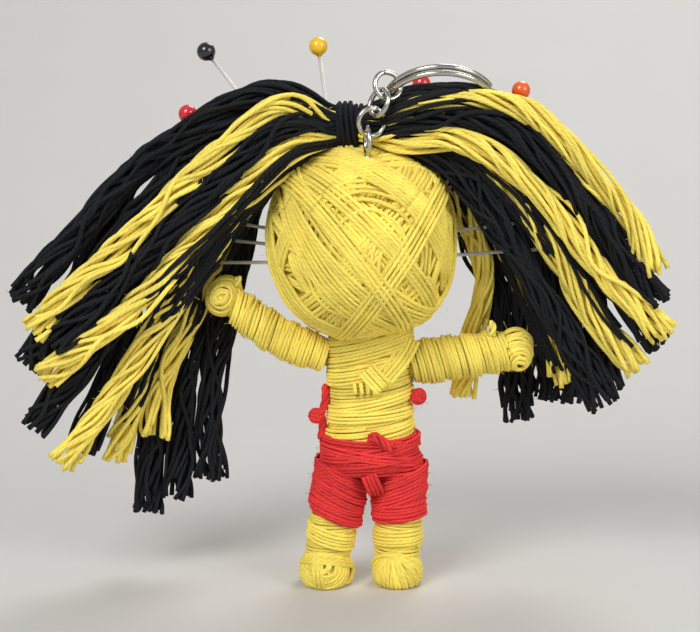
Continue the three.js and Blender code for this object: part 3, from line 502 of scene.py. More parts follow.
# Hair cords: name, colour, place in the tie, and the lines from the left end and to the right end
HAIR = [
    ("hair_cord_front_1", "yellow", (-2.85, 1.9),
     [(-71.1, -9.5, 58.3), (-55.4, -9.5, 72.4), (-39.1, -9.5, 87.6), (-27.2, -9.5, 98.5),
      (-17.4, -9.5, 105.7)],
     [(4.2, -6.7, 102), (10.5, -9.3, 104.6), (20.7, -9.5, 107), (31.1, -9.5, 105.7), (42.4, -9.5, 97.4),
      (55.4, -9.5, 82.2), (60.9, -9.5, 70.2)]),
    ("hair_cord_front_2", "black", (-2.85, 0),
     [(-66.3, -9.5, 55), (-54.3, -9.5, 66.5), (-40.2, -9.5, 79.6), (-27.8, -9.5, 91.8),
      (-17, -9.5, 101.1)],
     [(4.2, -6.7, 99.6), (10.5, -9.5, 101.2), (20, -9.5, 102.6), (30.4, -9.5, 99.6), (41.3, -9.5, 90.2),
      (52.2, -9.5, 76.1), (62.4, -9.5, 64.2)]),
    ("hair_cord_front_3", "yellow", (-2.85, -1.9),
     [(-68.5, -9.5, 47.9), (-53.3, -9.5, 59.4), (-38, -9.5, 74.6), (-25, -9.5, 88.7), (-15.7, -9.5, 97)],
     [(4.2, -6.5, 97.3), (10.5, -9.5, 97.7), (18.5, -9.5, 98.5), (29.3, -9.5, 93.1), (39.8, -9.5, 83.1),
      (50, -9.5, 70.2), (64.1, -9.5, 57.2)]),
    ("hair_cord_upper_1", "black", (-0.95, 2.85),
     [(-73.9, -5, 63.5), (-61.5, -5, 77.7), (-48.9, -5, 92.2), (-34.1, -5, 101.4), (-27.2, -5, 105),
      (-19.6, -5, 107.7)],
     [(5.5, 0.6, 104.6), (10, 1.8, 106), (15.5, 3.4, 106.6), (23.9, 4.8, 105.8), (38, 4.8, 99.1),
      (48.9, 4.8, 87.2), (55, 4.8, 73.7), (59.8, 4.8, 62.8)]),
    ("hair_cord_upper_2", "black", (-0.95, 0.95),
     [(-72.4, -5, 50), (-58.7, -5, 68.5), (-45.7, -5, 84.8), (-32.6, -5, 96.8), (-19.1, -5, 102.9)],
     [(4.2, -4.3, 101.6), (10.5, -5, 101.9), (20.2, -5, 101.1), (33.7, -5, 92), (46.7, -5, 77.2),
      (55.9, -5, 63.1), (63, -5, 54.4)]),
    ("hair_cord_upper_3", "black", (-0.95, -0.95),
     [(-72, -5, 36.4), (-64.1, -5, 45.7), (-53.3, -5, 60.9), (-41.3, -5, 76.1), (-29.8, -5, 89.8),
      (-18.5, -5, 97.9)],
     [(2.2, -1.2, 98.4), (5, -2.7, 97.2), (10.5, -5, 95.8), (18.5, -5, 92.4), (27.6, -5, 81.1),
      (38, -5, 64.2), (46.3, -5, 51.1), (51.7, -5, 41.4)]),
    ("hair_cord_upper_4", "yellow", (-0.95, -2.85),
     [(-65.9, -5, 28.3), (-56.5, -5, 40.3), (-45.7, -5, 56.6), (-34.8, -5, 71.8), (-26.1, -5, 84.2),
      (-17.6, -5, 92.9)],
     [(2.2, -3.6, 98.5), (5, -4.6, 99.3), (10.5, -5, 98.9), (18.9, -5, 96.8), (31.1, -5, 86.6),
      (42.4, -5, 71.1), (51.5, -5, 57.7), (58.9, -5, 49.4)]),
    ("hair_cord_lower_1", "black", (0.95, 2.85),
     [(-68.5, 5, 58), (-62, 5, 67.1), (-56.5, 5, 79.7), (-50.2, 5, 90.6), (-35.9, 5, 100),
      (-27.2, 5, 104.7), (-20.7, 5, 106.9)],
     [(8.7, 9, 103.5), (21.7, 9, 102.2), (35.9, 9, 92.7), (46.3, 9, 76.3), (51.7, 9, 57.9),
      (54.3, 9, 42.2)]),
    ("hair_cord_lower_2", "black", (0.95, 0.95),
     [(-63, 5, 29.1), (-55.4, 5, 47.6), (-50, 5, 65), (-43.5, 5, 82.3), (-32, 5, 95.8),
      (-19.6, 5, 102.3)],
     [(8.9, 9, 100.3), (20.2, 9, 97), (32, 9, 85.5), (41.3, 9, 68.7), (46.7, 9, 52.4), (48.9, 9, 40)]),
    ("hair_cord_lower_3", "yellow", (0.95, -0.95),
     [(-55.9, 5, 26.9), (-50, 5, 43.2), (-44.6, 5, 60.6), (-38, 5, 75.8), (-28.9, 5, 89.3),
      (-18.7, 5, 97.6)],
     [(9.3, 9, 97.2), (18.9, 9, 92.7), (28, 9, 80.7), (35.4, 9, 65.5), (41.3, 9, 52.4), (45, 9, 43.7)]),
    ("hair_cord_lower_4", "yellow", (0.95, -2.85),
     [(-46.7, 5, 32.3), (-45, 5, 43.2), (-39.1, 5, 56.3), (-32.8, 5, 70.4), (-25.9, 5, 83.6),
      (-17.6, 5, 92.6)],
     [(9.8, 9, 95.5), (17.4, 9, 88.7), (23.7, 9, 77.4), (26.7, 9, 65.5), (24.1, 9, 54.6), (22, 9, 40.5)]),
    ("hair_cord_rear_1", "black", (2.85, 1.9),
     [(-48.9, 9.5, 14.3), (-46.7, 9.5, 40.4), (-43.5, 9.5, 60), (-39.1, 9.5, 78.5), (-30.7, 9.5, 94.8),
      (-19.1, 9.5, 103)],
     [(8.7, 13.5, 101.2), (21.1, 13.5, 97.2), (33, 13.5, 85.9), (40.9, 13.5, 70.3), (44.6, 13.5, 52.9),
      (42.8, 13.5, 38.8)]),
    ("hair_cord_rear_2", "black", (2.85, 0),
     [(-42.4, 9.5, 17.6), (-40.7, 9.5, 38.2), (-38, 9.5, 55.6), (-34.3, 9.5, 73), (-27.6, 9.5, 89.3),
      (-18.3, 9.5, 98.2)],
     [(9.1, 13.5, 97.5), (19.1, 13.5, 91.6), (28, 13.5, 79.4), (34.1, 13.5, 63.8), (38, 13.5, 50.7),
      (39.1, 13.5, 39.8)]),
    ("hair_cord_rear_3", "black", (2.85, -1.9),
     [(-34.6, 9.5, 21.9), (-34.6, 9.5, 38.2), (-32.6, 9.5, 53.5), (-29.3, 9.5, 68.7), (-24.6, 9.5, 83.9),
      (-17.2, 9.5, 93.2)],
     [(9.6, 13.5, 93.8), (17.4, 13.5, 86.4), (24.3, 13.5, 74.6), (29.3, 13.5, 61.6), (32.6, 13.5, 47.5),
      (34.8, 13.5, 34.4)]),
]

# Pins: name, colour of the bead, point of the shaft in the head, and the way that it points
PINS = [
    ("pin_black_top", "black", (-11.69, 0, 88.17), (0.617, 0, -0.787)),
    ("pin_yellow_top", "yellow", (-5.39, 0, 81.9), (0.128, 0, -0.992)),
    ("pin_red_top_left", "red", (-8.37, 0, 82.85), (0.823, 0, -0.568)),
    ("pin_red_top_right", "red", (-1.09, 5, 76.14), (-0.369, 0, -0.929)),
    ("pin_orange_top", "orange", (10.81, 0, 80.19), (-0.625, 0, -0.781)),
    ("pin_red_side_right", "red", (-10.7, 2, 73.4), (-0.9, 0, -0.436)),
    ("pin_side_left_1", "yellow", (-6.39, 0, 76.29), (0.986, 0, -0.164)),
    ("pin_side_left_2", "black", (-1.3, 0, 73.22), (0.9945, 0, -0.105)),
    ("pin_side_left_3", "orange", (-5, 0, 71.3), (1, 0, 0)),
    ("pin_side_right_1", "yellow", (1.38, 0, 75.93), (-0.992, 0, -0.124)),
    ("pin_side_right_2", "black", (4.49, 0, 71.84), (-0.9975, 0, -0.071)),
]
# From a pin's point to the middle of its bead, and how far a pin can be drawn out
PIN_REACH = 36.0
PIN_PULL = 18.0
BEAD_CODES = {"black": "#131416", "yellow": "#F0BE1B", "red": "#D3222C", "orange": "#EE5F16"}

# Chain: name, middle and face of each ring
LINKS = [
    ("screw_eye", (0.4, -9.7, 97.9), (0.992, 0.126, 0)),
    ("jump_ring_1", (1.3, -9.72, 101.87), (0.314, -0.941, -0.128)),
    ("jump_ring_2", (2.78, -9.7, 105.9), (-0.751, -0.579, 0.319)),
    ("jump_ring_3", (4.65, -8.74, 109.42), (0.367, -0.886, 0.284)),
]
LINK_RADIUS = 2.9
LINK_WIRE = 0.55
# Split ring: its middle as photographed and with the ring swung up, its face and its wire
SPLIT_CENTRE = (15.72, -3.87, 105.15)
SPLIT_LIFTED = (17.4, -8.3, 108.85)
SPLIT_FACE = (0, -0.6428, -0.766)
SPLIT_RADIUS = 11.8
SPLIT_WIRE = 0.6
SPLIT_HALF_PITCH = 0.825

# Arms: shoulder, middle of the hand, radii at the shoulder and the wrist, half sizes of the hand
ARMS = {
    "left": ((-8.7, 0, 50.9), (-30.6, 0, 63.9), 4.1, 3.7, (5.1, 4.5, 4.2)),
    "right": ((9.8, 0, 49.3), (33, 0, 52.2), 4.9, 4.5, (5.3, 4.5, 4.1)),
}

# Room that a strand leaves round the shaft and bead of a pin, chain and split ring, arms and head
SHAFT_ROOM = 0.45
BEAD_ROOM = 2.4
LINK_ROOM = LINK_WIRE + 0.1
SPLIT_ROOM = SPLIT_HALF_PITCH + SPLIT_WIRE + 0.15
ARM_ROOM = 0.6
HEAD_ROOM = 0.3


def pushed(points, near, room):
    """Moves points away from the places they are nearest to, where they are too near."""
    away = points - near
    gap = np.linalg.norm(away, axis=1)
    push = np.where(gap < room, room / np.maximum(gap, 1e-6), 1.0)
    return points + away * (push - 1)[:, None]


def off_segment(points, start, end, room):
    """Moves points out of a rounded bar between two points."""
    start, end = np.asarray(start, float), np.asarray(end, float)
    bar = end - start
    t = np.clip((points - start) @ bar / (bar @ bar), 0, 1)
    return pushed(points, start + t[:, None] * bar, room)


def off_ring(points, centre, face, radius, room):
    """Moves points out of a ring of wire."""
    face = unit(face)
    offset = points - np.asarray(centre, float)
    flat = offset - (offset @ face)[:, None] * face
    return pushed(points, np.asarray(centre) + units(flat) * radius, room)


def off_disc(points, centre, face, radius, room):
    """Moves a strand to one side of the flat space that a ring sweeps in its own plane."""
    face = unit(face)
    offset = points - np.asarray(centre, float)
    height = offset @ face
    flat = np.linalg.norm(offset - height[:, None] * face, axis=1)
    share = np.clip((radius + 2.2 - flat) / 1.6, 0, 1) * np.clip((5 - np.abs(height)) / 2, 0, 1)
    side = -1.0 if np.sum(height * share) < 0 else 1.0
    lift = np.where(side * height < room, (side * room - height) * share, 0.0)
    return points + lift[:, None] * face


def settled(points, thick, hair=True):
    """Moves a strand clear of the pins and the chain, and hair clear of the head and arms as well."""
    for turn in range(3):
        for _name, _colour, tip, aim in PINS:
            aim = unit(aim)
            ball = np.asarray(tip) - aim * PIN_REACH
            points = off_segment(points, np.asarray(tip) + 4 * aim, ball, SHAFT_ROOM + thick)
            if hair:
                points = off_segment(points, ball + 3 * aim, ball - aim * PIN_PULL, BEAD_ROOM + thick)
        for _name, centre, face in LINKS:
            points = off_ring(points, centre, face, LINK_RADIUS, LINK_ROOM + thick)
        if hair:
            for centre in (SPLIT_CENTRE, SPLIT_LIFTED):
                points = off_disc(points, centre, SPLIT_FACE, SPLIT_RADIUS + SPLIT_WIRE, SPLIT_ROOM + thick)
            for shoulder, hand, root, _wrist, size in ARMS.values():
                points = off_segment(points, shoulder, hand, root + ARM_ROOM + thick)
                points = off_segment(points, hand, np.asarray(hand) + 0.1, size[0] + ARM_ROOM + thick)
            points = off_segment(points, HEAD, HEAD + 0.01, HEAD_REACH + HEAD_ROOM + thick)
        if turn < 2:
            points[1:-1] = (points[:-2] + 2 * points[1:-1] + points[2:]) / 4
    return points


# Step between the points of a cord, and how far a strand may lie from its cord's line
CORD_STEP = 1.5
CORD_REACH = 3.7

# Black strands over a part of a yellow cord: shares of the cord's length where they begin and end,
# their number, and the angle that they lie to the side of its front
COVERED = {
    "hair_cord_front_1_left": [(0.0, 0.14, 8, -0.5)],
    "hair_cord_front_1_right": [(0.0, 0.34, 10, 0.0)],
    "hair_cord_front_3_left": [(0.0, 0.66, 5, -1.2)],
    "hair_cord_upper_4_left": [(0.0, 0.63, 11, -0.5)],
    "hair_cord_upper_4_right": [(0.0, 0.62, 10, 0.2), (0.4, 0.92, 5, -1.3)],
    "hair_cord_lower_3_left": [(0.0, 0.88, 10, -0.1)],
    "hair_cord_lower_3_right": [(0.0, 0.97, 9, 0.0)],
    "hair_cord_lower_4_left": [(0.0, 0.74, 8, -0.3)],
    "hair_cord_lower_4_right": [(0.0, 0.5, 11, 0.0)],
}


def cord_lines(slot, left, right):
    """The lines of a hair cord from the tie to its left end and to its right end."""
    from_left = np.array([TIE[0] - TIE_STRAIGHT, slot[0], TIE[2] + slot[1]])
    from_right = np.array([TIE[0] + TIE_STRAIGHT, slot[0], TIE[2] + slot[1]])
    left, right = np.array(left, float), np.array(right, float)
    route = np.vstack([
        left, from_left + (left[-1] - from_left) * TIE_FLARE, from_left,
        from_right, from_right + (right[0] - from_right) * TIE_FLARE, right])
    line = smooth_route(route, 0.8)
    middle = int(np.argmin(np.abs(line[:, 0] - TIE[0]) + 9 * np.abs(line[:, 2] - from_left[2])))
    return even_steps(line[:middle + 1][::-1], CORD_STEP), even_steps(line[middle:], CORD_STEP)


def held(points, line):
    """Keeps a strand in its cord."""
    away = points - line
    gap = np.linalg.norm(away, axis=1, keepdims=True)
    return line + away * np.minimum(1.0, CORD_REACH / np.maximum(gap, 1e-6))


def past_tie(run, share):
    """How far a cord has opened: to a share of its width at the tie, and fully 13 mm from its middle."""
    return share + (1 - share) * np.clip((run - 2) / 11, 0, 1)


def cord_strands(line, rng, hair, strays):
    """Strands of one loose twisted cord along its line, spread and cut unevenly at the free end."""
    run = run_along(line)
    first, second = side_frames(line)
    opened = past_tie(run, 0.42)
    strands = []
    outer = hair.strands
    inner = 4
    for k in range(outer + inner + strays):
        core = outer <= k < outer + inner
        stray = k >= outer + inner
        start = TURN * k / (inner if core else outer) + rng.uniform(-0.3, 0.3)
        angle = start + TURN * run * MM / hair.lay + wander(rng, run, 0.6, 40)
        reach = hair.spread / MM * (0.42 if core else 1.0) * opened
        reach = reach * (1 + wander(rng, run, 0.24, 30))
        if stray:
            angle = rng.uniform(0, TURN) + wander(rng, run, 1.5, 60)
            reach = (2.9 + wander(rng, run, 0.8, 50)) * opened
        free = np.clip((run - (run[-1] - rng.uniform(9, 17))) / 14, 0, 1) ** 1.6
        reach = reach + free * hair.fray / MM * rng.uniform(0.1, 0.4 if stray else 1.0)
        angle = angle + free * rng.uniform(-0.8, 0.8)
        points = beside(line, first, second, angle, reach)
        points[:, 2] -= free * rng.uniform(0.0, 0.8)
        keep = len(points) - (0 if core or k % 2 else int(rng.integers(0, 4)))
        points = held(settled(points[:keep], STRAND), line[:keep])
        width = np.full(len(points), rng.uniform(0.84, 1.1))
        width[-2:] *= (1.05, 1.14)
        strands.append((points, width))
    return strands


def cover_strands(line, rng, hair, cover):
    """Strands of another cord that lie over the front of this one for a part of its length."""
    begin, stop, count, aside = cover
    run = run_along(line)
    along = units(np.gradient(line, axis=0))
    front = np.array([0, -0.99, 0.14])
    front = units(front - along * (along @ front)[:, None])
    side = np.cross(along, front)
    opened = past_tie(run, 0.5)
    half = 1.5 if count > 6 else 0.7
    strands = []
    for j in range(count):
        angle = ((j + 0.5) / count * 2 - 1) * half + aside + rng.uniform(-0.12, 0.12)
        angle = angle + wander(rng, run, 0.3, 46) + 0.5 * (run / run[-1] - 0.3)
        last = run[-1] * min(1.0, stop + rng.uniform(-0.07, 0.05))
        tuck = np.clip((run - last + 9) / 9, 0, 1) if stop < 0.9 else 0.0
        points = beside(line, front, side, angle, (hair.spread / MM + 0.6) * opened * (1 - 0.5 * tuck))
        shown = (run >= begin * run[-1]) & (run <= last)
        strands.append((held(settled(points[shown], STRAND), line[shown]), rng.uniform(0.85, 1.08)))
    return strands


class DOLL_OT_hair(bpy.types.Operator):
    """Hair cords of loose twisted strands, from the tie to their cut ends"""

    bl_idname = "doll.hair"
    bl_label = "Hair cords"

    def execute(self, context):
        hair = context.scene.doll_hair
        for number, (name, colour, slot, left, right) in enumerate(HAIR):
            strays = 1 if colour == "yellow" else 5 if "front" in name else 9
            for side, line in zip(("left", "right"), cord_lines(slot, left, right)):
                rng = np.random.default_rng(100 + 2 * number + (side == "right"))
                strands = cord_strands(line, rng, hair, strays)
                covers = []
                for cover in COVERED.get(f"{name}_{side}", ()):
                    covers += cover_strands(line, rng, hair, cover)
                piece = spun(f"{name}_{side}", strands, STRAND, colour, name, seed=number, covers=covers)
        return {"FINISHED"}


# Wound bands of the head in the order they lie, each by two or three places on its front,
# in millimetres right of and above the middle of the head, and its number of yarns
HEAD_TOP_BANDS = [
    (((0.1, -3.7), (4.6, 3.9)), 5),
    (((8.1, -5.6), (12.9, -12.7)), 5),
    (((13.9, 15.0), (9.0, 8.5)), 5),
    (((-15.2, 3.9), (-18.1, -4.4)), 4),
    (((-20.0, 4.6), (-18.7, -4.4), (-14.6, -10.7)), 4),
    (((17.3, 6.5), (20.0, 0.1), (18.0, -9.0)), 4),
    (((11.5, -12.0), (16.5, -2.0)), 3),
    (((-12.0, 15.4), (-3.7, 10.6), (7.7, -1.2)), 5),
    (((-7.6, 7.1), (-3.4, 10.3), (3.9, 10.9)), 4),
    (((-6.3, 18.0), (4.6, 13.8), (12.9, 6.2)), 6),
    (((-1.8, 7.7), (7.7, -2.1)), 3),
    (((-20.6, -5.0), (-10.2, -16.8), (8.0, -17.9)), 5),
    (((-15.8, 9.0), (-8.2, -3.7), (0.1, -12.3)), 6),
    (((-13.6, 11.6), (-5.0, 0.1), (3.0, -7.9)), 5),
    (((16.0, 10.6), (5.5, -5.0), (-3.1, -18.1)), 4),
    (((-13.9, 12.5), (-2.1, 0.7), (7.7, -13.6)), 3),
]
# Bands under those, wound every way, and the points of one turn of yarn on the head
HEAD_UNDER_BANDS = 26
HEAD_STEPS = 104

# Area of one of the spots in which a winding's height is kept, and the share of a turn between them
SPOT_AREA = 0.085
GOLDEN_TURN = 0.6180339887


def band_plane(places):
    """The plane of a wound band, from places on the front of the head: its normal and its offset."""
    spots = []
    for spot in places:
        flat = np.array(spot, float)
        flat = flat * min(1.0, HEAD_BALL / max(np.linalg.norm(flat), 1e-6))
        spots.append(np.array([flat[0], -math.sqrt(max(0.0, HEAD_FRONT ** 2 - flat @ flat)), flat[1]]))
    if len(spots) == 2:
        return unit(np.cross(spots[0], spots[1])), 0.0
    normal = unit(np.cross(spots[1] - spots[0], spots[2] - spots[0]))
    return normal, float(normal @ spots[0])


def wind_ball(centre, sizes, core, reach, bands, rng, steps):
    """Winds bands of yarn round a ball one after the other, each lying on those below it.

    A band has the normal and offset of its plane, its number of yarns, and whether it lies on top."""
    centre = np.asarray(centre, float)
    sizes = np.asarray(sizes, float)
    mean = float(sizes.mean())
    stretch = sizes / mean
    count = int(4.0 * math.pi * mean ** 2 / SPOT_AREA)
    k = np.arange(count) + 0.5
    z = 1 - 2 * k / count
    angle = TURN * k * GOLDEN_TURN
    skin = np.stack([np.sqrt(1 - z * z) * np.cos(angle), np.sqrt(1 - z * z) * np.sin(angle), z], axis=1)
    height = np.full(count, core)
    level_at = (core + reach) / 2 + 0.6
    laid = []
    for normal, middle, yarns, top in bands:
        first = unit(np.cross(normal, [0.3, 0.5, 0.81]))
        second = np.cross(normal, first)
        around = np.arctan2(skin @ second, skin @ first)
        level = skin @ normal
        slant = rng.uniform(-0.6, 0.6)
        bins = ((around / TURN) % 1 * steps).astype(int) % steps
        for j in range(yarns):
            offset = middle + (j - (yarns - 1) / 2) * YARN * 1.88 + rng.uniform(-0.08, 0.08)
            sway = wander(rng, np.arange(steps + 1) * 1.2, 0.22, 44) + slant * j * 0.1
            sway = sway * np.sin(np.linspace(0, math.pi, steps + 1)) ** 0.5
            # How high the yarns below it stand at each step, eased because a yarn doesn't bend sharply
            gap = np.abs(level_at * level - offset - sway[bins])
            under = gap < YARN * 0.92
            base = np.full(steps, core)
            np.maximum.at(base, bins[under], height[under])
            wide = np.maximum.reduce([np.roll(base, s) for s in (-1, 0, 1)])
            eased = sum(np.roll(wide, s) for s in (-3, -2, -1, 0, 1, 2, 3)) / 7
            tight = np.clip((reach + 0.9 - eased) / 2.6, 0.3, 1.0)
            rise = np.maximum(eased, base - 0.1) + YARN * 0.66 * tight
            lift = rise[bins[under]] + np.sqrt(np.maximum(0, YARN ** 2 - gap[under] ** 2)) * 0.75
            height[under] = np.maximum(height[under], lift)
            turn = (np.arange(steps + 1) + 0.5) / steps * TURN
            tall = np.clip((offset + sway) / level_at, -0.985, 0.985)
            way = np.sqrt(1 - tall ** 2)[:, None] * (
                np.cos(turn)[:, None] * first + np.sin(turn)[:, None] * second) + tall[:, None] * normal
            line = centre + way * np.r_[rise, rise[:1]][:, None] * stretch
            laid.append((line, rng.uniform(0.93, 1.05), top))
    # Pulled tight, the whole winding settles to its real size and the low places fill up
    far = np.percentile(np.concatenate([np.linalg.norm((line - centre) / stretch, axis=1)
                                        for line, _width, _top in laid]), 90)
    pulled = []
    for line, width, top in laid:
        offset = (line - centre) / stretch
        size = np.linalg.norm(offset, axis=1, keepdims=True)
        share = np.maximum(size - core, 0) / (far - core)
        tight = core + (reach - YARN - core) * share ** 0.6
        pulled.append((centre + offset / size * tight * stretch, width, top))
    return pulled


def wind_head(rng):
    """Yarn of the head: bands wound every way, then the bands that show in front."""
    bands = []
    for _ in range(HEAD_UNDER_BANDS):
        bands.append((unit(rng.normal(size=3)), rng.uniform(-7, 7), int(rng.integers(4, 7)), False))
    bands += [(*band_plane(places), round(yarns * 1.2), True) for places, yarns in HEAD_TOP_BANDS]
    laid = wind_ball(HEAD, (HEAD_BALL,) * 3, HEAD_CORE, HEAD_REACH + 1.0, bands, rng, HEAD_STEPS)
    return [(settled(line, 0.5, hair=False), width, top) for line, width, top in laid]


class DOLL_OT_head(bpy.types.Operator):
    """Head: a foam ball wound with bands of yellow yarn"""

    bl_idname = "doll.head"
    bl_label = "Head"

    def execute(self, context):
        laid = wind_head(np.random.default_rng(7))
        below, above = [[(line, width) for line, width, top in laid if top == want]
                        for want in (False, True)]
        half = len(below) // 2
        layers = (("under", below[:half], "head_yarn_body"), ("middle", below[half:], "head_band_inner"),
                  ("top", above, "head_band_outer"))
        for seed, (layer, strands, node) in enumerate(layers, 1):
            spun(f"head_winding_{layer}", strands, YARN, "yellow", node, seed=seed)
        shape = bmesh.new()
        bmesh.ops.create_icosphere(shape, subdivisions=5, radius=(HEAD_CORE + 1.6) * MM,
                                   matrix=Matrix.Translation(place(HEAD)))
        packed("head_inner_yarn", shape)
        return {"FINISHED"}


# Stage, in metres: floor from side to side, from front to back and up the backdrop, and their fold
FLOOR_HALF = 2.0
FLOOR_FRONT = -1.2
FLOOR_BACK = 0.8
BACKDROP = 1.6
FOLD = 0.6
# Lights: name, place, width and power
LIGHTS = (
    ("soft_key", (-0.45, -0.75, 0.75), 0.55, 7.2),
    ("soft_fill", (0.7, -0.6, 0.45), 0.6, 3.6),
    ("soft_rim", (0.25, 0.6, 0.8), 0.5, 3.4),
)
AIR_COLOUR = (0.9, 0.92, 0.95, 1)
AIR_POWER = 0.42
# Camera: what it looks at on the doll, how far off it is in metres, how far it looks down, its sensor
CAMERA_AIM = (-3.26, 0, 59.6)
CAMERA_DISTANCE = 0.4
CAMERA_RISE = math.radians(8)
SENSOR_WIDTH = 36


def aimed(name, data, spot, aim):
    """A lamp or camera at a place, turned to what it is aimed at."""
    made = bpy.data.objects.new(name, data)
    made.location = spot
    made.rotation_euler = (aim - made.location).to_track_quat("-Z", "Y").to_euler()
    bpy.context.scene.collection.objects.link(made)
    return made


class DOLL_OT_stage(bpy.types.Operator):
    """Pale floor with a curved backdrop, soft lights and the camera"""

    bl_idname = "doll.stage"
    bl_label = "Stage"

    def execute(self, context):
        scene = context.scene
        shape = bmesh.new()
        rows = [[shape.verts.new((x, y, z)) for x in (-FLOOR_HALF, FLOOR_HALF)]
                for y, z in ((FLOOR_FRONT, 0), (FLOOR_BACK, 0), (FLOOR_BACK, BACKDROP))]
        for (a, b), (c, d) in zip(rows, rows[1:]):
            shape.faces.new((a, b, d, c))
        fold = [shape.edges.get(rows[1])]
        bmesh.ops.bevel(shape, geom=fold, offset=FOLD, offset_type="OFFSET", affect="EDGES",
                        segments=24, profile=0.5, material=-1)
        bmesh.ops.recalc_face_normals(shape, faces=shape.faces)
        mesh = into_mesh("studio_floor", shape)
        mesh.shade_smooth()
        mesh.materials.append(matt_paper())
        floor = bpy.data.objects.new("studio_floor", mesh)
        scene.collection.objects.link(floor)
        aim = Vector(place(CAMERA_AIM))
        for name, spot, size, power in LIGHTS:
            light = bpy.data.lights.new(name, "AREA")
            light.shape = "DISK"
            light.size = size
            light.energy = power
            aimed(name, light, spot, aim)
        world = bpy.data.worlds.new("studio_air")
        world.use_nodes = True
        air = world.node_tree.nodes["Background"]
        air.inputs["Color"].default_value = AIR_COLOUR
        air.inputs["Strength"].default_value = AIR_POWER
        scene.world = world
        scene.view_settings.view_transform = "Standard"
        lens = bpy.data.cameras.new("photo_camera")
        lens.sensor_fit = "HORIZONTAL"
        lens.sensor_width = SENSOR_WIDTH
        lens.lens = SENSOR_WIDTH * CAMERA_DISTANCE / (PHOTO_WIDTH / PHOTO_SCALE * MM)
        lens.clip_start = 0.01
        back = Vector((0, -math.cos(CAMERA_RISE), math.sin(CAMERA_RISE))) * CAMERA_DISTANCE
        scene.camera = aimed("photo_camera", lens, aim + back, aim)
        return {"FINISHED"}


# Torso: its middle, its depth by its width, and the radius of its yarn by height
TORSO_X = 1.2
TORSO_FLAT = 0.74
TORSO_PROFILE = np.array([
    (7.4, 25.8), (9.2, 27), (9.5, 30), (9.3, 33.4), (8.5, 35), (8.3, 39), (8.4, 44), (8.6, 50),
    (8.5, 55), (8, 58)])
TORSO_BASE = 25.8
# Lowest and highest turn of the torso's and the waist's winding
TORSO_SPAN = (32.4, 58.6)
WAIST_SPAN = (25.2, 33.9)
# Bands on the torso and on the waist: how far up each begins and ends, how far and which way it leans
TORSO_BANDS = (
    (1.2, 4.0, 1.5, 1.3), (4.6, 7.4, 0.7, 1.6), (7.6, 10.0, 1.9, 1.4), (14.4, 18.2, 2.3, 1.4),
    (18.6, 24.4, 2.5, 1.5))
WAIST_BANDS = ((0.6, 3.2, 1.2, 1.5), (3.0, 5.4, -1.7, 1.5), (4.4, 7.0, 1.8, 1.3), (6.6, 8.0, -0.5, 1.6))
# Crossing band on the chest, the knot that it ends in and the middles of the knot's stitches
CHEST_BAND = [(9.9, 55.2), (8.7, 52.9), (7.2, 50.6), (5.2, 48.4), (3.6, 46.4)]
CHEST_KNOT = [(0.2, 49.2), (1.4, 47.8), (2.8, 46.2), (4.0, 44.9)]
CHEST_STITCHES = (-2.3, -0.9, 0.5, 1.8)
# Sash: angle round the torso, height, how far off the torso, and its knot on the left flank
SASH_ROUTE = [
    (-17, 42.3, 2.5), (0, 42.2, 2.3), (30, 41.6, 2.2), (60, 41, 2.2), (90, 40.8, 2.2), (120, 41.2, 2.2),
    (150, 42.4, 2.0), (172, 43.6, 1.5), (186, 43.2, 1.4), (190, 40.6, 1.7), (189, 38.2, 2.6), (187, 36, 2.0),
    (186, 34, 1.6), (188, 32.6, 1.5)]
SASH_KNOT = (-10.7, -1.5, 37.8)
# Red yarn between the legs, the end that hangs from the waist and its knot
GUSSET = [(0.8, -7.7, 26.0), (1.4, -7.4, 24.4), (2.2, -6.4, 22.4), (2.6, -4.0, 20.9), (2.4, 0.5, 20.5),
          (1.8, 5.0, 22.4), (1.3, 7.0, 26.0)]
WAIST_END = [(1.4, -8.6, 34.8), (2.6, -9.2, 34.3), (4.0, -9.4, 33.4), (5.6, -9.2, 32.2)]
WAIST_KNOT = [(1.2, -7.7, 33.2), (1.4, -8.6, 34.6), (2.4, -8.9, 34.9)]

# Arms: how far the middle sags, and how much fuller the yarn is towards the wrist
ARM_SAG = {"left": (1.7, 0.3), "right": (0.0, 0.0)}
# Bands over an arm's winding: share of the arm where each begins, and its width
ARM_BANDS = ((0.16, 3.4), (0.36, 2.6), (0.56, 3.2), (0.78, 2.4))
# Hands: the way that the coil's eye faces, and the cut end of its yarn
HAND_FACES = {"left": (-0.1, -1.0, 0.16), "right": (0.12, -0.78, -0.62)}
HAND_ENDS = {
    "left": [(-27.6, -2.0, 66.4), (-27.2, -2.6, 67.6), (-27.4, -2.6, 68.4)],
    "right": [(27.4, -2.6, 55.6), (27.6, -2.9, 57.6), (27.2, -2.7, 58.9)],
}

# Legs: hip, ankle, thigh and shin radii, foot's middle and half sizes
LEGS = {
    "left": ((-5, 0, 25.4), (-8.5, 0, 5), 6.35, 5.35, (-8.7, -0.8, 3), (6.2, 7.4, 5.5)),
    "right": ((7.8, 0, 25.4), (7.1, 0, 5), 6.2, 5.35, (7.2, -0.8, 3), (5.9, 7.2, 5.5)),
}
# How far a winding leans: at the hem of the shorts, on the thigh and on the shin
LEG_LEANS = {"left": (-1.5, -2.4, 0.8), "right": (0.7, 2.6, -0.35)}
QUARTER = math.pi / 2

# How deep the winding of a hand and of a foot is, and the share of them that packed yarn fills
HAND_DEPTH = 1.5
FOOT_DEPTH = 1.4
HAND_PACKING = 0.72
FOOT_PACKING = 0.88
# Half the width of the red yarn between the legs and in the sash, and the sash's balls of yarn
GUSSET_YARN = 0.46
SASH_YARN = 0.45
SASH_END_BALL = 1.95
SASH_KNOT_BALL = 1.85


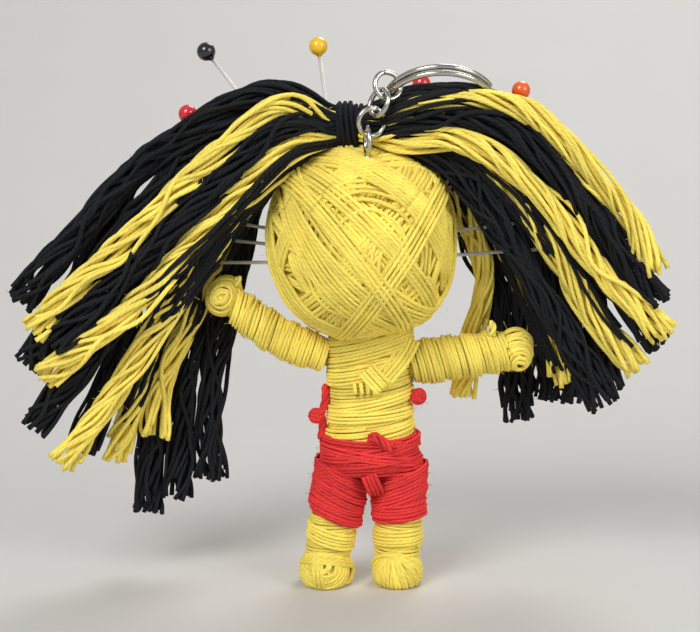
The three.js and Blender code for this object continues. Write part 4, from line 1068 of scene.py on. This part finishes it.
def coil(start, end, reach, rng, pitch=FINE_PITCH, lean=0.0, lean_at=0.0, flat=1.0, jitter=0.12, grain=26,
         level=True):
    """One unbroken yarn wound round a limb, leaning to one side and not quite even.

    Its reach is one radius, or a list of places along the limb and one of the radii there. A level
    coil keeps within the limb's ends."""
    start, end = np.asarray(start, float), np.asarray(end, float)
    length = float(np.linalg.norm(end - start))
    axis = (end - start) / length
    across = unit(np.cross([0, 1, 0], axis)) if abs(axis[1]) < 0.9 else np.array([1.0, 0, 0])
    deep = np.cross(axis, across)
    turns = length / pitch
    turn = np.linspace(0, turns * TURN, int(turns * grain) + 2)
    run = turn / TURN * pitch
    along = run + wander(rng, turn, pitch * 0.16, 9) + lean * np.sin(turn + lean_at)
    if level:
        along = np.clip(along, 0, length)
    wide = np.interp(along, *reach) if isinstance(reach, tuple) else reach
    wide = wide + wander(rng, turn, jitter, 5.1) + wander(rng, turn, jitter, 31)
    return (start + along[:, None] * axis + (np.cos(turn) * wide)[:, None] * across
            + (np.sin(turn) * wide * flat)[:, None] * deep)


def torso_reach(height):
    """How far the torso's yarn lies from its middle, at a height."""
    return np.interp(height, TORSO_PROFILE[:, 1], TORSO_PROFILE[:, 0])


def wind_torso(span, knots, lifts, flats, bands, rng, **turns):
    """Level turns round a stretch of the torso, and leaning bands that lie over them.

    Lifts and flats say for turns and bands how far off the torso and how much deeper they are."""
    low, high = span
    heights = np.linspace(low, high, knots)
    under, over = [(heights - low, torso_reach(heights) + lift) for lift in lifts]
    lines = [coil((TORSO_X, 0, low), (TORSO_X, 0, high), under, rng, flat=TORSO_FLAT + flats[0],
                  grain=40, **turns)]
    for start, end, lean, at in bands:
        part = (np.array([0, end - start]), np.interp([start, end], *over))
        lines.append(coil((TORSO_X, 0, low + start), (TORSO_X, 0, low + end), part, rng, lean=lean,
                          lean_at=at, flat=TORSO_FLAT + flats[1], grain=40, level=False))
    return lines


def on_torso(spots, lift):
    """A line on the front of the torso, from how far right and how high its places are."""
    line = []
    for x, z in spots:
        wide = float(torso_reach(z)) + lift
        side = np.clip((x - TORSO_X) / wide, -1, 1)
        line.append((x, -math.sqrt(1 - side * side) * (wide * TORSO_FLAT + 0.2 * lift), z))
    return smooth_route(line, 0.7)


def side_by_side(line, count, apart, rng):
    """A band of yarns laid next to each other along a line on the front of the doll."""
    across = units(np.cross(np.gradient(line, axis=0), (0, -1, 0)))
    return [line + across * ((j - (count - 1) / 2) * apart + rng.uniform(-0.08, 0.08)) for j in range(count)]


def twisted(line, count, reach, lay, rng):
    """Strands twisted round each other along a line."""
    run = run_along(line)
    first, second = side_frames(line)
    made = []
    for k in range(count):
        angle = TURN * k / count + TURN * run / lay + wander(rng, run, 0.2, 9)
        made.append(beside(line, first, second, angle, reach * (1 + wander(rng, run, 0.12, 8))))
    return made


def loops_round(axis, core, reach):
    """Single yarns that coil round an axis from the back of a ball to the eye in front."""
    middle = (core + reach) / 2 + 0.6
    step = YARN * 1.85 / middle
    return [(unit(axis), middle * math.cos(t), 1, t < 1.5) for t in np.arange(math.pi - step, 0.12, -step)]


def filled_core(name, centre, sizes, body="doll"):
    """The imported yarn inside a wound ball, which closes the gaps between its outer yarns."""
    shape = bmesh.new()
    bmesh.ops.create_icosphere(shape, subdivisions=4, radius=1.0)
    bmesh.ops.scale(shape, verts=shape.verts, vec=Vector(np.asarray(sizes) * MM))
    bmesh.ops.translate(shape, verts=shape.verts, vec=Vector(place(centre)))
    for vert in shape.verts:
        vert.co.z = max(vert.co.z, 0.45 * MM)
    packed(name, shape, None, body)


def sagged(points, start, end, sag):
    """Lets the middle of a limb hang lower than a straight line between its ends."""
    start, span = np.asarray(start, float), np.asarray(end, float) - np.asarray(start, float)
    share = np.clip((points - start) @ span / (span @ span), 0, 1)
    return points - np.outer(sag * np.sin(math.pi * share), (0, 0, 1))


def limb_core(name, node, start, end, radii, body="doll", flat=1.0, sag=0.0):
    """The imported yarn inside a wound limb, turned round the limb's axis from its radii."""
    start, end = np.asarray(start, float), np.asarray(end, float)
    axis = unit(end - start)
    across = unit(np.cross([0, 1, 0], axis))
    shape = bmesh.new()
    outline = [shape.verts.new(Vector((r * MM, 0, t * MM))) for t, r in radii]
    edges = [shape.edges.new(pair) for pair in zip(outline, outline[1:])]
    bmesh.ops.spin(shape, geom=outline + edges, cent=(0, 0, 0), axis=(0, 0, 1), angle=TURN,
                   steps=40, use_merge=True)
    bmesh.ops.remove_doubles(shape, verts=shape.verts, dist=1e-7)
    bmesh.ops.holes_fill(shape, edges=[e for e in shape.edges if e.is_boundary], sides=0)
    bmesh.ops.scale(shape, verts=shape.verts, vec=(1, flat, 1))
    turn = Matrix((across, np.cross(axis, across), axis)).transposed().to_4x4()
    bmesh.ops.transform(shape, verts=shape.verts, matrix=Matrix.Translation(place(start)) @ turn)
    bmesh.ops.recalc_face_normals(shape, faces=shape.faces)
    spots = sagged(np.array([vert.co for vert in shape.verts]) / MM - MIDDLE, start, end, sag)
    for vert, spot in zip(shape.verts, place(spots)):
        vert.co = Vector(spot)
    packed(name, shape, node, body)


def dress_arm(side, number, rng):
    """Winding of an arm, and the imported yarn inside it."""
    shoulder, hand, root, wrist, size = ARMS[side]
    shoulder, hand = np.array(shoulder, float), np.array(hand, float)
    axis = unit(hand - shoulder)
    length = float(np.linalg.norm(hand - shoulder))
    end = length - size[2] * 0.55
    sag, full = ARM_SAG[side]
    middle = np.interp(8, (3, end), (root, wrist)) + full
    under = ((0, 3, 8, end), (root - 0.8, root - 0.4, middle - 0.4, wrist + full - 0.4))
    lines = [coil(shoulder - axis * 0.4, shoulder + axis * end, under, rng, lean=0.7,
                  lean_at=1.2 + number, jitter=0.16)]
    at_nine = np.interp(9, (0, end), (root, wrist)) + full
    over = ((0, 9, end), (root - 0.02, at_nine - 0.02, wrist + full - 0.02))
    for share, width in ARM_BANDS:
        start = share * end
        lines.append(coil(shoulder + axis * start, shoulder + axis * (start + width),
                          np.interp(start, *over), rng, lean=0.8, lean_at=2.0, jitter=0.15))
    lines = [sagged(line, shoulder, hand, sag) for line in lines]
    body = f"arm_{side}"
    spun(f"arm_yarn_{side}", lines, FINE_YARN, "yellow", f"arm_winding_{side}", body, seed=50 + number)
    radii = [(-2.6, 1.2), (-1.4, root - 2.4), (0, root - 1.6), (3, root - 1.1), (8, middle - 1.1),
             (end, wrist + full - 1.1), (length, 1.0)]
    limb_core(f"arm_packing_{side}", f"arm_core_{side}", shoulder, hand, radii, body, sag=sag)


def dress_hand(side, number, rng):
    """Coiled loops of a hand with the cut end of their yarn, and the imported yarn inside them."""
    shoulder, hand, _root, _wrist, size = ARMS[side]
    axis = unit(np.array(hand, float) - shoulder)
    mean = float(np.mean(size))
    bands = [((0, 0, 1), 0.4, 2, False), ((0.6, 0, 0.8), -0.8, 2, False)]
    bands += loops_round(HAND_FACES[side], mean - HAND_DEPTH, mean)
    # The ball is wound round, then stretched to the hand's sizes along the arm, in depth and across
    basis = np.array([axis, (0, 1, 0), unit(np.cross(axis, [0, 1, 0]))])
    lines = []
    for line, width, _top in wind_ball((0, 0, 0), (mean,) * 3, mean - HAND_DEPTH, mean, bands, rng, 34):
        lines.append((hand + (line @ basis.T * (np.array(size[::-1]) / mean)) @ basis, width))
    tail = smooth_route(HAND_ENDS[side], 0.5)
    lines += [(line, 0.95) for line in twisted(tail, 2, 0.42, 4.0, rng)]
    spun(f"hand_yarn_{side}", lines, YARN, "yellow", f"hand_{side}", f"arm_{side}", seed=60 + number)
    filled_core(f"hand_packing_{side}", hand, np.full(3, mean) * HAND_PACKING, f"arm_{side}")


class DOLL_OT_arms(bpy.types.Operator):
    """Arms wound with yarn, each ending in a hand of coiled loops"""

    bl_idname = "doll.arms"
    bl_label = "Arms and hands"

    def execute(self, context):
        for number, side in enumerate(ARMS):
            rng = np.random.default_rng(40 + number)
            dress_arm(side, number, rng)
            dress_hand(side, number, rng)
        return {"FINISHED"}


class DOLL_OT_torso(bpy.types.Operator):
    """Torso and neck wound with yarn, with the crossing band and its knot in front"""

    bl_idname = "doll.torso"
    bl_label = "Torso"

    def execute(self, context):
        rng = np.random.default_rng(21)
        lines = wind_torso(TORSO_SPAN, 26, (0.35, 0.85), (0.02, 0.03), TORSO_BANDS, rng, lean=1.2,
                           lean_at=1.4, jitter=0.12)
        spun("torso_yarn", lines, FINE_YARN, "yellow", "torso_winding", seed=22)
        lines = side_by_side(on_torso(CHEST_BAND, 1.45), 5, 0.88, rng)
        lines += side_by_side(on_torso(CHEST_KNOT, 1.9), 5, 0.86, rng)
        for x in CHEST_STITCHES:
            lines.append(on_torso([(x - 0.1, 46.2), (x + 0.1, 44.9), (x + 0.2, 43.6)], 1.7))
        spun("chest_band_yarn", lines, YARN, "yellow", seed=23)
        radii = [(z - TORSO_BASE, min(r - 0.25, (61 - z) * 1.6)) for r, z in TORSO_PROFILE]
        limb_core("torso_packing", "torso_core", (TORSO_X, 0, TORSO_BASE), (TORSO_X, 0, 60), radii,
                  flat=TORSO_FLAT - 0.02)
        return {"FINISHED"}


def dress_thigh(side, number, rng):
    """Red winding of a thigh, with leaning bands over it."""
    hip, ankle, thigh = LEGS[side][:3]
    axis = unit(np.array(ankle, float) - hip)
    hem, lean, _shin_lean = LEG_LEANS[side]
    under = ((0, 3.4, 14), (thigh - 1.6, thigh - 0.75, thigh - 0.75))
    lines = [coil(hip - axis * 3.0, hip + axis * 10.6, under, rng, lean=hem, lean_at=QUARTER, jitter=0.15,
                  grain=30, level=False)]
    for start, stop, slope in ((1.4, 5.0, lean), (4.6, 8.0, lean * 0.9), (7.8, 11.4, hem)):
        lines.append(coil(hip - axis * (1.4 - start), hip - axis * (1.4 - stop), thigh - 0.35, rng,
                          lean=slope, lean_at=QUARTER, jitter=0.18, grain=30, level=False))
    spun(f"shorts_leg_yarn_{side}", lines, FINE_YARN, "red", f"shorts_leg_winding_{side}",
         seed=33 + number, tone=RED_TONE)


def sash_lines(rng):
    """Twisted yarns of the sash round the torso, with a ball of yarn at its end and one as its knot."""
    spots = []
    for angle, height, lift in SASH_ROUTE:
        wide = float(torso_reach(height))
        turn = math.radians(angle)
        spots.append((TORSO_X + (wide + lift) * math.cos(turn),
                      (wide * TORSO_FLAT + lift) * math.sin(turn), height))
    route = smooth_route(spots, 0.8)
    lines = twisted(route, 4, 0.55, 7.0, rng)
    for middle, size in ((route[0], SASH_END_BALL), (SASH_KNOT, SASH_KNOT_BALL)):
        bands = [(unit(rng.normal(size=3)), 0.0, 4, True) for _ in range(5)]
        lines += [(line, 0.92) for line, _width, _top in
                  wind_ball(middle, (size,) * 3, size - 1.2, size, bands, rng, 22)]
    return lines


class DOLL_OT_shorts(bpy.types.Operator):
    """Shorts wound in red yarn round the waist and both thighs, with a knotted end, and the sash"""

    bl_idname = "doll.shorts"
    bl_label = "Shorts and sash"

    def execute(self, context):
        rng = np.random.default_rng(31)
        lines = wind_torso(WAIST_SPAN, 12, (0.85, 1.4), (0.03, 0.04), WAIST_BANDS, rng, lean=0.4,
                           lean_at=0.9, jitter=0.16)
        spun("shorts_waist_yarn", lines, FINE_YARN, "red", "shorts_waist_winding", seed=32, tone=RED_TONE)
        for number, side in enumerate(LEGS):
            dress_thigh(side, number, rng)
        lines = side_by_side(smooth_route(GUSSET, 0.7), 4, 0.86, rng)
        lines += twisted(smooth_route(WAIST_END, 0.4), 4, 0.72, 7.0, rng)
        lines += twisted(smooth_route(WAIST_KNOT, 0.4), 3, 0.5, 5.0, rng)
        spun("shorts_gusset_yarn", lines, GUSSET_YARN, "red", seed=36, tone=RED_TONE)
        spun("sash_yarn", sash_lines(rng), SASH_YARN, "red", "sash", seed=37, tone=RED_TONE)
        return {"FINISHED"}


def dress_shin(side, number, rng):
    """Winding of a lower leg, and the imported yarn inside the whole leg."""
    hip, ankle, thigh, shin = LEGS[side][:4]
    hip, ankle = np.array(hip, float), np.array(ankle, float)
    axis = unit(ankle - hip)
    lean = LEG_LEANS[side][2]
    under = ((0, 6, 12), (shin - 0.5, shin - 0.55, shin - 0.7))
    lines = [coil(hip + axis * 9.2, ankle, under, rng, lean=lean, lean_at=QUARTER, jitter=0.14, grain=30),
             coil(hip + axis * 12.4, hip + axis * 16.6, shin - 0.15, rng, lean=-lean, lean_at=1.2,
                  jitter=0.16, grain=30)]
    spun(f"leg_yarn_{side}", lines, FINE_YARN, "yellow", f"leg_winding_{side}", seed=80 + number)
    radii = [(-1.4, thigh - 2.8), (2.0, thigh - 1.4), (9.5, thigh - 1.3), (10.5, shin - 1.1),
             (float(np.linalg.norm(ankle - hip)), shin - 1.3)]
    limb_core(f"leg_packing_{side}", f"leg_core_{side}", hip, ankle, radii)


def foot_bands(side, mean):
    """The left foot's coil round an eye in front, or the right foot's loops that cross on top."""
    if side == "left":
        return ([((1, 0, 0.2), -1.0, 6, False)]
                + loops_round((-0.06, -0.8, 0.42), mean - FOOT_DEPTH, mean + 0.45)
                + [((0.95, -0.25, 0.1), s, 1, True) for s in (-0.9, 0.0, 0.9)]
                + [((0.12, 0.35, 0.95), 2.9, 4, True)])
    pole = unit((-0.15, -0.55, 0.8))
    first = unit(np.cross(pole, (1, 0, 0)))
    second = np.cross(pole, first)
    return ([((0.1, -0.8, 0.3), s, 1, False) for s in np.arange(-5, 5, 0.86)]
            + [(math.cos(a) * first + math.sin(a) * second, 0.0, 2, True)
               for a in np.arange(0, math.pi, math.pi / 10)])


def dress_foot(side, number, rng):
    """Wound foot with a flat sole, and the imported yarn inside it."""
    foot, size = LEGS[side][4:]
    mean = float(np.mean(size))
    lines = []
    bands = foot_bands(side, mean)
    for line, width, _top in wind_ball(foot, size, mean - FOOT_DEPTH, mean + 0.3, bands, rng, 40):
        line[:, 2] = np.maximum(line[:, 2], YARN + 0.01)
        lines.append((line, width))
    spun(f"foot_yarn_{side}", lines, YARN, "yellow", f"foot_{side}", seed=90 + number)
    filled_core(f"foot_packing_{side}", foot, np.array(size) * FOOT_PACKING)


class DOLL_OT_legs(bpy.types.Operator):
    """Lower legs wound with yarn, and feet of coiled loops with flat soles"""

    bl_idname = "doll.legs"
    bl_label = "Legs and feet"

    def execute(self, context):
        for number, side in enumerate(LEGS):
            rng = np.random.default_rng(70 + number)
            dress_shin(side, number, rng)
            dress_foot(side, number, rng)
        return {"FINISHED"}


def drawn_wire(name, line, radius, material, body):
    """A piece of round metal wire along a line in millimetres, with rounded ends."""
    return finished(name, tubes(name, [(line, 1.0)], radius, 4, rounding=radius * 0.3), material, body)


def ring_line(centre, face, radius, start, sweep, count):
    """Points round a ring, which starts at an angle and goes part of the way round."""
    face = unit(face)
    along = unit(np.cross(face, [0.2, 0.9, 0.4]))
    across = np.cross(face, along)
    turn = np.radians(start + np.linspace(0, sweep, count))
    return np.asarray(centre) + radius * (np.cos(turn)[:, None] * along + np.sin(turn)[:, None] * across)


def eye_line(centre, face):
    """A screw eye: its shank from the point up, a bend, and its ring, which stops short of the shank."""
    foot = np.asarray(centre, float) - (0, 0, LINK_RADIUS)
    ring = ring_line(centre, face, LINK_RADIUS, 0, 360, 65)[:64]
    ring = np.roll(ring, -int(np.argmin(ring[:, 2])), axis=0)[:61]
    shank = np.array([foot + (0, 0, z) for z in (-13.6, -10, -6, -3, -1.2)])
    bend = smooth_route(np.vstack([shank[-1:], ring[1:4]]), 0.3)[1:-1]
    return np.vstack([shank, bend, ring[3:]])


def split_line():
    """Nearly two turns of the split ring's wire, which steps over to the second turn in 40 degrees."""
    face = unit(SPLIT_FACE)
    along = np.array([1.0, 0, 0])
    across = np.cross(face, along)
    turn = np.arange(28, 692.1, 4.0)
    share = np.clip((turn - 340) / 40, 0, 1)
    shift = SPLIT_HALF_PITCH * (share * share * (3 - 2 * share) * 2 - 1)
    angle = np.radians(turn)[:, None]
    return (np.asarray(SPLIT_CENTRE) + shift[:, None] * face
            + SPLIT_RADIUS * (np.cos(angle) * along + np.sin(angle) * across))


class DOLL_OT_chain(bpy.types.Operator):
    """Screw eye, jump rings and split ring of nickel-plated steel wire"""

    bl_idname = "doll.chain"
    bl_label = "Chain"

    def execute(self, context):
        # Bright nickel plate on drawn steel wire: a warm grey mirror, with draw marks 0.6 mm apart
        nickel = bright_metal("nickel_plated_steel", "#C9C6BE", 0.12, 0.3, 0.6)
        for number, (name, centre, face) in enumerate(LINKS):
            if name == "screw_eye":
                line, body = eye_line(centre, face), "doll"
            else:
                line, body = ring_line(centre, face, LINK_RADIUS, 40 + 95 * number, 356.5, 73), name
            listed(drawn_wire(f"{name}_wire", line, LINK_WIRE, nickel, body), name)
        listed(drawn_wire("split_ring_wire", split_line(), SPLIT_WIRE, nickel, "split_ring"),
               "split_ring")
        return {"FINISHED"}


def bead_shape(radius):
    """A round bead, with the neck that it draws out along the shaft when it is melted on."""
    shape = bmesh.new()
    bmesh.ops.create_uvsphere(shape, u_segments=40, v_segments=24, radius=radius)
    for vert in shape.verts:
        near = vert.co.z / radius
        if near > 0.93:
            vert.co.z += (near - 0.93) * 4.5 * MM
    return shape


def shaft_shape(radius):
    """A round shaft from inside the bead to its point, which tapers in two steps."""
    shape = bmesh.new()
    bmesh.ops.create_circle(shape, segments=20, radius=radius, cap_ends=True)
    bmesh.ops.translate(shape, verts=shape.verts, vec=(0, 0, 1.2 * MM))
    for depth, scale in ((PIN_REACH - 5.2, 1.0), (2.0, 0.72), (1.6, 0.16)):
        top = max(shape.faces, key=lambda f: f.calc_center_median().z)
        grown = bmesh.ops.extrude_face_region(shape, geom=[top])["geom"]
        fresh = [v for v in grown if isinstance(v, bmesh.types.BMVert)]
        bmesh.ops.translate(shape, verts=fresh, vec=(0, 0, depth * MM))
        bmesh.ops.scale(shape, verts=fresh, vec=(scale, scale, 1))
    bmesh.ops.recalc_face_normals(shape, faces=shape.faces)
    return shape


class DOLL_OT_pins(bpy.types.Operator):
    """Pins with round plastic beads on pointed steel shafts"""

    bl_idname = "doll.pins"
    bl_label = "Pins"

    def execute(self, context):
        trim = context.scene.doll_trim
        # Polished carbon steel: bright, with faint draw marks 0.4 mm apart
        steel = bright_metal("polished_pin_steel", "#F4F2EC", 0.28, 0.45, 0.4, mirror=0.6)
        for name, colour, tip, aim in PINS:
            ball = np.asarray(tip, float) - unit(aim) * PIN_REACH
            turn = Vector(unit(aim)).to_track_quat("Z", "Y").to_matrix().to_4x4()
            spot = Matrix.Translation(place(ball)) @ turn
            plastic = bead_plastic(f"polystyrene_{colour}", BEAD_CODES[colour])
            for part, shape, finish, slot, node in (
                    ("bead", bead_shape(trim.bead / 2), plastic, f"{colour}_ball", name),
                    ("shaft", shaft_shape(trim.shaft / 2), steel, "armature_wire", None)):
                bmesh.ops.transform(shape, verts=shape.verts, matrix=spot)
                mesh = into_mesh(f"{name}_{part}", shape)
                listed(finished(f"{name}_{part}", mesh, finish, name), node)
        return {"FINISHED"}


class DOLL_OT_tie(bpy.types.Operator):
    """Black yarn wound round the middle of the hair cords"""

    bl_idname = "doll.tie"
    bl_label = "Hair tie"

    def execute(self, context):
        rng = np.random.default_rng(15)
        start, end = TIE - (TIE_STRAIGHT, 0, 0), TIE + (TIE_STRAIGHT, 0, 0)
        lines = [coil(start, end, TIE_UNDER, rng, pitch=1.0, lean=0.25, jitter=0.14, grain=30),
                 coil(start + (0.8, 0, 0), end - (0.9, 0, 0), TIE_OVER, rng, pitch=1.25, lean=0.7,
                      lean_at=1.0, jitter=0.15, grain=30)]
        lines = [settled(line, 0.45, hair=False) for line in lines]
        spun("hair_tie_yarn", lines, STRAND, "black", "hair_tie", seed=16)
        return {"FINISHED"}


class DOLL_OT_inside(bpy.types.Operator):
    """Foam ball in the head and the wires in the limbs, which the yarn hides"""

    bl_idname = "doll.inside"
    bl_label = "Foam and wires"

    def execute(self, context):
        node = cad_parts["head_ball"]
        shape = bmesh.new()
        shape.from_mesh(node.data)
        bmesh.ops.transform(shape, verts=shape.verts, matrix=node.matrix_world)
        bmesh.ops.subdivide_edges(shape, edges=shape.edges[:], cuts=1, use_grid_fill=True)
        foam = finished("head_foam", into_mesh("head_foam", shape), foam_white(), "doll")
        listed(foam, "head_ball")
        # Annealed steel wire: dull grey, with die marks 0.8 mm apart
        wire = bright_metal("annealed_steel_wire", "#86888B", 0.38, 0.55, 0.8)
        for name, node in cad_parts.items():
            if "_wire" in name:
                node.data.materials.clear()
                node.data.materials.append(wire)
        return {"FINISHED"}


# Loose fibres: half their width, and how far off the shoulders and the split ring there are any
FIBRE = 0.036
SHOULDER_ROOM = 8
RING_ROOM = 5


def fibre_share(dye, body):
    """The share of a yarn's points that a fibre stands out of."""
    if dye == "black":
        return 0.05
    return 0.11 if dye == "yellow" and body == "doll" else 0.2


class DOLL_OT_fluff(bpy.types.Operator):
    """Loose fibres that stand out of the yarn"""

    bl_idname = "doll.fluff"
    bl_label = "Loose fibres"

    def execute(self, context):
        rng = np.random.default_rng(5)
        laid = {key: list(lines) for key, lines in FLUFF.items()}
        t = np.linspace(0, 1, 5)[:, None]
        for number, ((body, dye), lines) in enumerate(laid.items()):
            spots = np.concatenate(lines)
            along = np.concatenate([np.gradient(line, axis=0) for line in lines])
            picked = rng.choice(len(spots), int(len(spots) * fibre_share(dye, body)), replace=False)
            rubbed = np.linalg.norm(spots - SPLIT_LIFTED, axis=1) < SPLIT_RADIUS + RING_ROOM
            for shoulder, *_rest in ARMS.values():
                rubbed |= np.linalg.norm(spots - shoulder, axis=1) < SHOULDER_ROOM
            fibres = []
            for i in picked[~rubbed[picked]]:
                way = rng.normal(size=3)
                way = unit(way - unit(along[i]) * (way @ unit(along[i])) * 0.7)
                bend = rng.normal(size=3) * 0.5
                size = rng.uniform(0.5, 1.25) * (1.5 if rng.random() < 0.08 else 1.0)
                line = spots[i] + way * size * t + bend * size * t ** 2
                line[:, 2] = np.maximum(line[:, 2], 0.05)
                fibres.append(line)
            spun(f"loose_fibres_{dye}_{body}", fibres, FIBRE, dye, None, body, seed=number, sides=0)
        return {"FINISHED"}


SETTINGS = (YarnSettings, HairSettings, TrimSettings)
STEPS = (
    DOLL_OT_stage, DOLL_OT_hair, DOLL_OT_tie, DOLL_OT_head, DOLL_OT_torso, DOLL_OT_arms, DOLL_OT_shorts,
    DOLL_OT_legs, DOLL_OT_pins, DOLL_OT_chain, DOLL_OT_inside, DOLL_OT_fluff)


class DOLL_PT_panel(bpy.types.Panel):
    """Lists the steps that dress the doll, and its settings"""

    bl_idname = "DOLL_PT_panel"
    bl_label = "String doll"
    bl_space_type = "VIEW_3D"
    bl_region_type = "UI"
    bl_category = "String doll"

    def draw(self, context):
        for settings in ("doll_yarn", "doll_hair", "doll_trim"):
            group = getattr(context.scene, settings)
            for name in group.bl_rna.properties.keys():
                if name not in ("name", "rna_type"):
                    self.layout.prop(group, name)
        for step in STEPS:
            self.layout.operator(step.bl_idname)


def register():
    """Adds the settings, the steps and the panel to Blender."""
    for kind in (*SETTINGS, *STEPS, DOLL_PT_panel):
        bpy.utils.register_class(kind)
    bpy.types.Scene.doll_yarn = bpy.props.PointerProperty(type=YarnSettings)
    bpy.types.Scene.doll_hair = bpy.props.PointerProperty(type=HairSettings)
    bpy.types.Scene.doll_trim = bpy.props.PointerProperty(type=TrimSettings)


def unregister():
    """Takes them out again."""
    del bpy.types.Scene.doll_trim
    del bpy.types.Scene.doll_hair
    del bpy.types.Scene.doll_yarn
    for kind in reversed((*SETTINGS, *STEPS, DOLL_PT_panel)):
        bpy.utils.unregister_class(kind)


def main():
    """Runs every step in order."""
    register()
    for step in STEPS:
        group, name = step.bl_idname.split(".")
        getattr(getattr(bpy.ops, group), name)()


if __name__ == "__main__":
    main()
